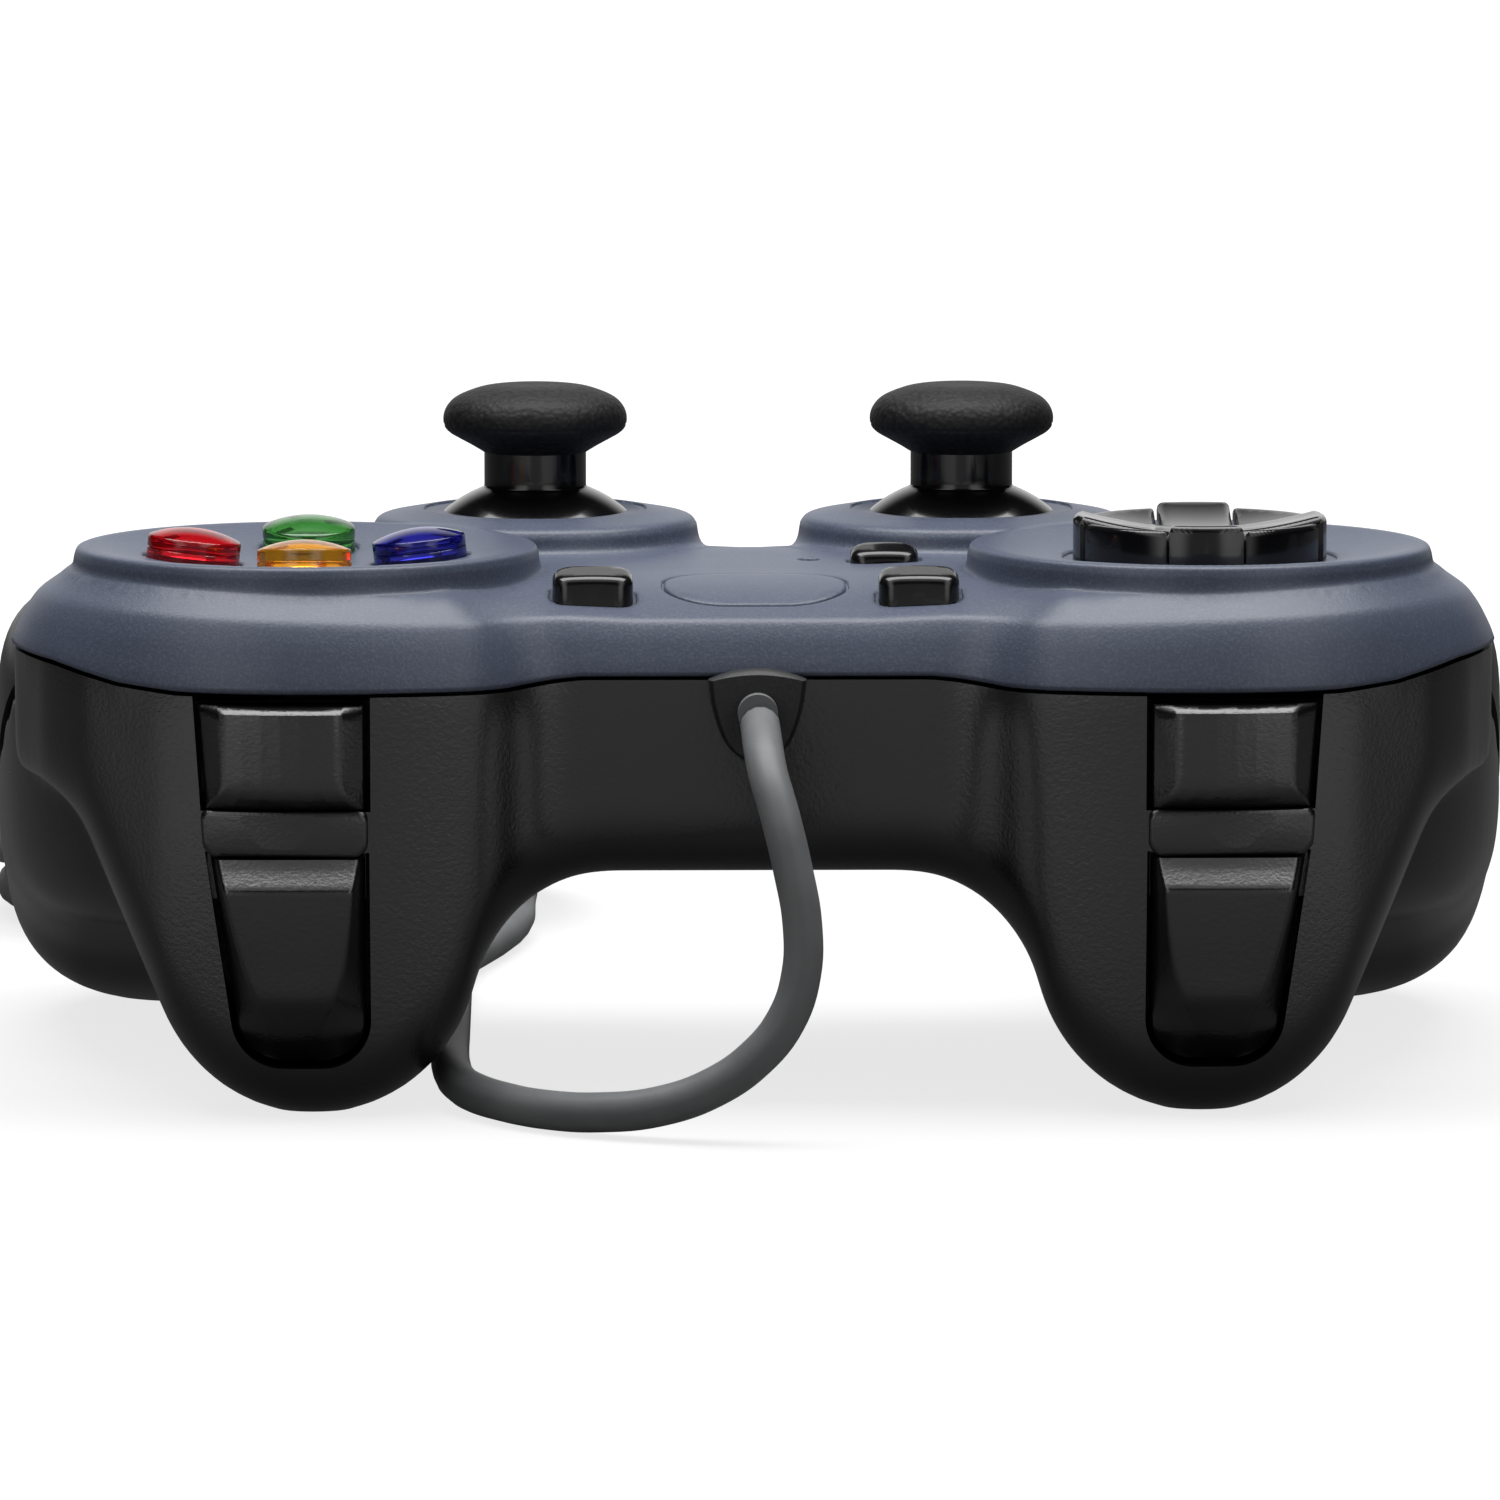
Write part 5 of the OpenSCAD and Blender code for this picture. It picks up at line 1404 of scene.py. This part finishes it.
def bumper(name, side):
    rows = []
    back_y = PIN_Y - 2.4
    base_in = WINDOW_IN_X + WINDOW_GAP
    for z, inner, outer, proud in BUMPER_ROWS:
        share = (z - BUMPER_LOW_Z) / (SEAM_Z - BUMPER_LOW_Z)
        base_out = WINDOW_OUT_X - WINDOW_SLANT - WINDOW_GAP + WINDOW_SLANT * share
        face_xs = [inner + (outer - inner) * i / 6 for i in range(7)]
        face = [Vector((x, lobe_front(x, 37) - proud)) for x in face_xs]
        line = [Vector((base_in, back_y)), Vector((base_in, lobe_front(base_in, z) + 0.35))] + face
        line += [Vector((base_out, lobe_front(base_out, z) + 0.35)), Vector((base_out, back_y))]
        rows.append((z, rounded(line, [0, 0.35, 0.6] + [0] * 5 + [0.6, 0.35, 0], 4)))
    bm = keyed(rows)
    return piece(name, on_side(bm, side), BLACK_GRAIN, name, "black_shell", [name], 24)


# height, plateau's inner and outer edge, fore and aft place of the plateau
TRIGGER_ROWS = [(5.6, 45.0, 47.6, -45.9), (6.6, 44.6, 48.0, -46.8), (8, 44.1, 48.4, -47.9),
                (9.4, 43.6, 48.8, -49), (10.6, 43.1, 49.2, -50), (11.5, 42.7, 49.5, -50.85),
                (12, 42.5, 49.7, -51.2), (12.6, 42.2, 50, -51.38), (13.6, 41.8, 50.5, -51.48),
                (15.2, 41.3, 51.1, -51.6), (19, 40.7, 52.2, -51.95), (22.4, 40.35, 52.95, -52.25),
                (23.2, 40.3, 53.1, -52.3), (23.5, 40.25, 53.15, -52.2), (24, 40.15, 53.25, -51.75),
                (25.2, 39.9, 53.6, -50.6), (26.2, 39.7, 53.8, -49.8)]
TRIGGER_STEPS = 44


def trigger_sides(z):
    """Inner and outer edge of a trigger at a height."""
    r_in = TRIGGER_IN_R - WINDOW_GAP
    r_out = TRIGGER_OUT_R - WINDOW_GAP
    top = TRIGGER_TOP_Z - WINDOW_GAP
    if z < TRIGGER_IN_C.y:
        inner = TRIGGER_IN_C.x - math.sqrt(max(0, r_in ** 2 - (TRIGGER_IN_C.y - z) ** 2))
    else:
        inner = TRIGGER_IN_C.x - r_in
    if z < TRIGGER_OUT_C.y:
        outer = TRIGGER_OUT_C.x + math.sqrt(max(0, r_out ** 2 - (TRIGGER_OUT_C.y - z) ** 2))
    else:
        low = TRIGGER_OUT_C.x + r_out
        outer = low + (TRIGGER_OUT_X - WINDOW_GAP - low) * (z - TRIGGER_OUT_C.y) / (top - TRIGGER_OUT_C.y)
    return inner, outer


def trigger(name, side):
    rows = []
    low = TRIGGER_ROWS[0][0]
    high = TRIGGER_ROWS[-1][0]
    back_y = PIN_Y - 1.6
    even = {low + (high - low) * i / TRIGGER_STEPS for i in range(TRIGGER_STEPS)}
    for z in sorted({row[0] for row in TRIGGER_ROWS} | even):
        _, flat_in, flat_out, face_y = eased(TRIGGER_ROWS, min(z, high - 1e-4))
        base_in, base_out = trigger_sides(z)
        recess = 0.7 + max(0, 9 - z) * 0.55
        line = [(base_in, back_y), (base_in, min(back_y - 0.5, lobe_front(base_in, z) + recess)),
                (flat_in, face_y), ((flat_in + flat_out) / 2, face_y - 0.12), (flat_out, face_y),
                (base_out, min(back_y - 0.5, lobe_front(base_out, z) + recess)), (base_out, back_y)]
        rows.append((z, rounded(line, [0, 0.4, 0.5, 6, 0.5, 0.4, 0], 4)))
    bm = keyed(rows)
    for x in (WINDOW_IN_X + 0.53, TRIGGER_OUT_X - 3.6):
        ear = box((x, PIN_Y - 2.3, TRIGGER_TOP_Z - 5), (x + 3.4, PIN_Y + 1, PIN_Z))
        ear = joined(ear, rod((x, PIN_Y, PIN_Z), (x + 3.4, PIN_Y, PIN_Z), 2.3))
        bm = joined(bm, ear)
    return piece(name, on_side(bm, side), BLACK_GRAIN, name, "black_shell", [name], 24)


# how far the bar's outline is drawn in, and how far it stands out
BAR_ROWS = ((0, -2.0), (0, 0.25), (0.12, 0.5), (0.4, 0.62))


def shoulder_bar(name, side):
    """The fixed bar between a bumper and its trigger."""
    low, high = TRIGGER_TOP_Z - 0.45, BUMPER_LOW_Z + 0.15
    x0, x1 = WINDOW_IN_X + 0.25, WINDOW_OUT_X - 1.1
    ring = rounded([(x0 + 1.4, high), (x0 + 0.4, high), (x0, high - 0.5), (x0, low + 1.0), (x0 + 0.9, low),
                    (x1 - 0.9, low), (x1, low + 1.0), (x1 + 0.2, high - 0.5), (x1 - 0.2, high),
                    (x1 - 1.4, high)], 0.5, 3)
    steps = 10
    ring += [Vector((ring[-1].x + (ring[0].x - ring[-1].x) * i / steps, high)) for i in range(1, steps)]
    mid = Vector(((x0 + x1) / 2, (low + high) / 2))
    rows = []
    for shrink, proud in BAR_ROWS:
        row = []
        for p in ring:
            q = p + Vector([math.copysign(min(shrink, abs(c)), c) for c in mid - p])
            row.append(Vector((q.x, lobe_front(q.x, 29) - proud, q.y)))
        rows.append(row)
    bm = loft(rows)
    return piece(name, on_side(bm, side), BLACK_GRAIN, "controller", "black_shell", (), 40)


# Sticks

def stem(name, side):
    """A straight neck on a dome that fills the collar's hole."""
    neck_top = top_of("left_stick_pad") - PAD_H + 1.2
    dome_turn = math.degrees(math.asin(COLLAR_HOLE_R / DOME_R)) + 15.5
    neck_turn = math.degrees(math.asin(NECK_R / DOME_R))
    outer = [(p.y, PIVOT_Z + p.x) for p in arc((0, 0), DOME_R, neck_turn, dome_turn, 20)]
    inner = [(p.y, PIVOT_Z + p.x) for p in arc((0, 0), DOME_R - DOME_WALL, dome_turn, BORE_TURN, 12)]
    foot = rounded([(NECK_R, outer[0][1] + 1), outer[0], outer[1]], 0.2, 3)
    bore_top = PIVOT_Z + (DOME_R - DOME_WALL) * math.cos(math.radians(BORE_TURN))
    bore_low = PIVOT_Z + 4.4
    profile = [(0, neck_top), (NECK_R - 0.2, neck_top), (NECK_R, neck_top - 0.2)] + foot + outer[2:]
    profile += inner + [(BORE_R, bore_top), (BORE_R, bore_low), (0, bore_low)]
    bm = lathe(profile, 128, (side * STICK.x, STICK.y, 0))
    return piece(name + "_stem", bm, GLOSS_BLACK, name, "gloss_black", [name + "_stem"], 30)


# radius and depth under the top of a thumb pad
PAD_LINE = [(0, 0.06), (1.8, 0.03), (3.6, 0.04), (5.3, 0.24), (6.66, 0.63), (8, 1.2), (8.8, 1.8), (9.35, 2.6),
            (9.56, 3.5), (9.4, 4.4), (8.85, 5), (8, 5.5), (6.55, 6.3), (5.4, 7)]
PAD_STEPS = 90
PAD_GROOVE = (4.15, 0.13, 0.1)


def pad(name, side):
    """A mushroom thumb pad with a faint line round its widest place."""
    high = top_of("left_stick_pad")
    rows = [(i, *p) for i, p in enumerate(PAD_LINE)]
    place, half, deep = PAD_GROOVE
    profile = []
    for i in range(PAD_STEPS + 1):
        _, r, depth = eased(rows, min(i / PAD_STEPS, 0.9999) * (len(rows) - 1))
        profile.append((max(0, r) - deep * max(0, 1 - abs(depth - place) / half), high - depth))
    profile += [(NECK_R - 0.1, high - 6.7), (0, high - 6.7)]
    profile[0] = (0, profile[0][1])
    bm = lathe(profile, 144, (side * STICK.x, STICK.y, 0))
    return piece(name + "_pad", bm, PAD_RUBBER, name, "pad_rubber", [name + "_pad"], 60)


# Deck buttons

FACE_SIDE_H = 2.3
FACE_DOME_H = 1.05
FACE_LINE_H = 1.15
FACE_FLANGE_Z = -2.65
FACE_FLANGE = 0.9
FACE_WALL = 0.95
FACE_STEM_R = 3.2
FACE_FINISHES = {"red": (RED_CLEAR, "red_clear"), "green": (GREEN_CLEAR, "green_clear"),
                 "blue": (BLUE_CLEAR, "blue_clear"), "yellow": (AMBER_CLEAR, "amber_clear")}


def face_button(colour):
    """A clear domed cap, hollow below, with a cross of ribs inside."""
    finish, slot = FACE_FINISHES[colour]
    px, py = FACE_PLACES[colour]
    centre = face_centre(colour)
    tilt = math.asin(FACE_PITCH / DISH_R)
    turn = Matrix.Rotation(tilt * py, 3, "X") @ Matrix.Rotation(-tilt * px, 3, "Y")
    ball = (FACE_R ** 2 + FACE_DOME_H ** 2) / (2 * FACE_DOME_H)
    reaches = [FACE_R * i / 12 for i in range(13)]
    dome = [(r, FACE_SIDE_H + FACE_DOME_H - ball + math.sqrt(ball ** 2 - r ** 2)) for r in reaches]
    flange = FACE_FLANGE_Z
    outer = rounded([dome[-2], dome[-1], (FACE_R, FACE_LINE_H + 0.09)], 0.35, 5)
    outer += [(FACE_R - 0.08, FACE_LINE_H), (FACE_R, FACE_LINE_H - 0.09), (FACE_R, flange)]
    cavity_r = FACE_R - FACE_WALL
    cavity = [(cavity_r, flange - 1), (cavity_r - 0.1, 0.55), (cavity_r - 0.5, 0.95), (0, 1.25)]
    rim = [(FACE_R + FACE_FLANGE, flange), (FACE_R + FACE_FLANGE, flange - 1)]
    profile = dome[:-2] + outer + rim + cavity
    bm = lathe(profile, 64)
    for k in range(2):
        bar = box((-cavity_r + 0.1, -0.4, flange - 0.8), (cavity_r - 0.1, 0.4, 1.1 - 0.05 * k))
        bm = joined(bm, placed(bar, (0, 0, 0), Matrix.Rotation(math.pi / 2 * k + 0.5, 3, "Z")))
    bm = joined(bm, rod((0, 0, -9), (0, 0, flange - 0.9), FACE_STEM_R))
    placed(bm, (centre.x, centre.y, dish_z(FACE_PITCH)), turn)
    return piece(colour + "_button", bm, finish, colour, slot, [colour + "_button"], 40)


def small_button(name, centre, half_w, half_d):
    """A plain bevelled key that slopes to the front."""
    high = top_of(name + "_button")

    def ring(d):
        return slot_ring(centre, half_w - d, half_d - d, max(0.4, SMALL_CORNER - 0.6 * d), 0, 0.4)

    def height(x, y):
        return high - SMALL_FALL * (1 - (y - centre.y) / half_d) / 2 - 0.2 * ((x - centre.x) / half_w) ** 2

    bm = cap(ring, height, 0.9, CEILING_Z - 1.6, 0.6)
    fx, fy = SMALL_FLANGE
    flange = cap(lambda d: slot_ring(centre, half_w + fx - d, half_d + fy - d, SMALL_CORNER, 0, 0.6),
                 lambda x, y: CEILING_Z - 1.5, 0.1, CEILING_Z - 2.5, 1.5)
    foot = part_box(name + "_button")[0].z / MM
    bm = joined(bm, flange, rod((centre.x, centre.y, foot), (centre.x, centre.y, CEILING_Z - 2.4), 1.8))
    return piece(name + "_button", bm, GLOSS_BLACK, name, "gloss_black", [name + "_button"], 40)


def home_button():
    """The oval middle key, level with the deck."""
    def ring(d):
        return slot_ring(HOME, HOME_W - d, HOME_D - d, HOME_CORNER - d, 0, 0.5)

    def height(x, y):
        return deck_z(x, y, inset(x, y)) + 0.06

    bm = cap(ring, height, 0.3, CEILING_Z - 1.3, 1.2)
    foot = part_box("home_button")[0].z / MM
    bm = joined(bm, rod((HOME.x, HOME.y, foot), (HOME.x, HOME.y, CEILING_Z - 1.2), 3))
    return piece("home_button", bm, BLUE_SATIN, "home", "blue_plastic", ["home_button"], 40)


def led_lens():
    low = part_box("led_lens")[0].z / MM
    profile = [(0, DECK_Z + 0.05), (0.5, DECK_Z), (0.85, DECK_Z - 0.15), (0.98, DECK_Z - 0.5), (0.98, low),
               (0, low)]
    return piece("led_lens", lathe(profile, 32, (LED.x, LED.y, 0)), LENS, "controller", "lens", ["led_lens"])


# Direction pad

DPAD_R = 12.6
ARM_HALF = 3.75
ARM_R = 12.9
DPAD_DISH_R = 42
QUARTER_Z = 56.75
ARM_Z = 57.85
DPAD_LOW_Z = 50.4
ARM_GAP = 0.28
DPAD_BASE = [(0, 51.2), (DPAD_R - 0.3, 51.2), (DPAD_R, 50.9), (DPAD_R, 49.4), (DPAD_R + 2, 49.2),
             (DPAD_R + 2, 48.1), (DPAD_R - 1.4, 48.1), (DPAD_R - 1.4, 50), (0, 50)]
DPAD_STOP_YS = (-9.3, 7.9)


def dpad():
    """Four raised arms in one dished cross, with four lower quarters between them."""
    def dished(rim, rim_r):
        def height(x, y):
            r2 = (x - DISC.x) ** 2 + (y - DISC.y) ** 2
            return rim - (rim_r ** 2 - min(r2, rim_r ** 2)) / (2 * DPAD_DISH_R)
        return height

    def cross(d):
        half = ARM_HALF - d
        reach = ARM_R - d
        tip = math.degrees(math.asin(half / reach))
        ring = []
        for k in range(4):
            corner = Vector((half, half))
            start = polar((0, 0), reach, 90 - tip)
            run = [corner + (start - corner) * i / 16 for i in range(16)]
            end = [Vector((-p.x, p.y)) for p in reversed(run[1:])]
            arm = run + arc((0, 0), reach, 90 - tip, 90 + tip, 14) + end
            turn = Matrix.Rotation(math.pi / 2 * k, 2)
            ring += [turn @ p for p in arm]
        return [p + DISC for p in ring]

    def quarter(k):
        def ring(d):
            edge = ARM_HALF + ARM_GAP + d
            reach = DPAD_R - d
            low = math.degrees(math.asin(edge / reach))
            line = [Vector((edge, edge))] + arc((0, 0), reach, low, 90 - low, 24)
            first = [line[0] + (line[1] - line[0]) * i / 12 for i in range(12)]
            last = [line[-1] + (line[0] - line[-1]) * i / 12 for i in range(12)]
            line = first + line[1:-1] + last
            turn = Matrix.Rotation(math.pi / 2 * k, 2)
            return [turn @ p + DISC for p in line]
        return ring

    parts = [cap(cross, dished(ARM_Z, ARM_R), 1.1, DPAD_LOW_Z, 0.7)]
    for k in range(4):
        parts.append(cap(quarter(k), dished(QUARTER_Z + 0.45, DPAD_R), 0.8, DPAD_LOW_Z, 0.7))
    parts.append(lathe(rounded(DPAD_BASE, 0.2, 2), 96, (DISC.x, DISC.y, 0)))
    for y in DPAD_STOP_YS:
        parts.append(box((DISC.x - 2, DISC.y + y, 46.5), (DISC.x + 2, DISC.y + y + 1.4, 50.5)))
    return piece("dpad_cap", joined(*parts), GLOSS_BLACK, "dpad", "gloss_black", ["dpad_cap"], 40)


# Cable gland and screws

# place before or behind the front wall, how far the shield is drawn in, height of its arch
GLAND_ROWS = ((0.4, 0.0, 1.05), (-1.2, 0.0, 1.05), (-1.8, 0.12, 0.95), (-2.2, 0.45, 0.6))


def gland():
    """A shield-shaped strain relief whose top arches over the edge of the upper shell."""
    def shield(shrink, crown):
        half = GLAND_HALF - shrink
        shares = [2 * i / 16 - 1 for i in range(17)]
        top = [Vector((half * t, GLAND_SEAM_Z + crown * (1 - t * t))) for t in shares]
        right = rounded([(half, GLAND_SEAM_Z), (half - 0.35, 40.2), (3.1 - shrink, 36.3),
                         (0, GLAND_LOW_Z + shrink * 1.6)], [0, 2.4, 2.6, 0], 6)
        left = [Vector((-p.x, p.y)) for p in reversed(right[:-1])]
        return top + right[1:] + left[:-1]

    bm = loft([[Vector((p.x, FRONT_Y + y, p.y)) for p in shield(shrink, crown)]
               for y, shrink, crown in GLAND_ROWS])
    seat = lathe([(0, 0), (1.8, 0), (1.8, 0.1), (0, 0.1)], 48)
    placed(seat, (0, FRONT_Y - 2, GLAND_Z), Matrix.Rotation(math.pi / 2, 3, "X"))
    neck = box((-2.3, FRONT_Y + 0.2, GLAND_Z - 2.5), (2.3, FRONT_Y + WALL + 0.9, SEAM_Z - 0.3))
    bm = joined(bm, seat, neck,
                box((-4.6, FRONT_Y + WALL + 0.3, GLAND_Z - 4.2), (4.6, FRONT_Y + WALL + 1.3, SEAM_Z - 0.3)))
    return piece("cable_gland", bm, MOULDED_RUBBER, "controller", "moulded_rubber", ["cable_gland"], 45)


def screws():
    parts = []
    for place in SCREWS + GRIP_SCREWS:
        grip = place in GRIP_SCREWS
        seat = seat_z(place)
        length = 16 if grip else SEAM_Z + 4.6 - seat
        head = rounded([(0, -1.8), (HEAD_R - 0.7, -1.75), (HEAD_R, -1.2), (HEAD_R, 0), (SHANK_R, 0),
                        (SHANK_R, length), (0, length)], [0, 0.5, 0.4, 0.1, 0.1, 0.2, 0], 3)
        screw = lathe(head, 32)
        for w, d in (CROSS, CROSS[::-1]):
            screw = cut(screw, box((-w / 2, -d / 2, -3), (w / 2, d / 2, -0.9)))
        parts.append(placed(screw, (place[0], place[1], seat)))
    return piece("shell_screws", joined(*parts), STEEL, "controller", "steel", ["shell_screws"])


bottom_shell()
top_shell()
for side_name, side_sign in SIDES.items():
    grip_cover(side_name + "_grip_cover", side_sign)
    bumper(side_name + "_bumper", side_sign)
    trigger(side_name + "_trigger", side_sign)
    shoulder_bar(side_name + "_shoulder_bar", side_sign)
    stem(side_name + "_stick", side_sign)
    pad(side_name + "_stick", side_sign)
for face_colour in FACE_FINISHES:
    face_button(face_colour)
small_button("back", BACK, SMALL_W, SMALL_D)
small_button("start", START, SMALL_W, SMALL_D)
small_button("mode", MODE, MODE_W, MODE_D)
home_button()
led_lens()
dpad()
gland()
screws()


def pair(node):
    return [side + "_" + node for side in SIDES]


# Finishes of the inner nodes, whose shapes stay as they are
INNER = {
    CIRCUIT: ["main_board", *pair("shoulder_board"), *pair("stick_sensors")],
    SILICONE: ["dpad_membrane", "face_membrane", "middle_membrane"],
    INNER_PLASTIC: [*pair("stick_housing"), *pair("trigger_bracket"), "dpad_hub"],
    LIGHT_PLASTIC: [*pair("stick_rocker"), *pair("stick_shaft"), "cable_connector"],
    STEEL: [*pair("stick_yoke"), *pair("trigger_pin"), *pair("trigger_spring"), "board_screws", "dpad_post"],
    CORD_RUBBER: ["inner_lead"],
}
for inner_finish, inner_nodes in INNER.items():
    for inner_node in inner_nodes:
        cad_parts[inner_node].data.materials.clear()
        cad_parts[inner_node].data.materials.append(inner_finish)
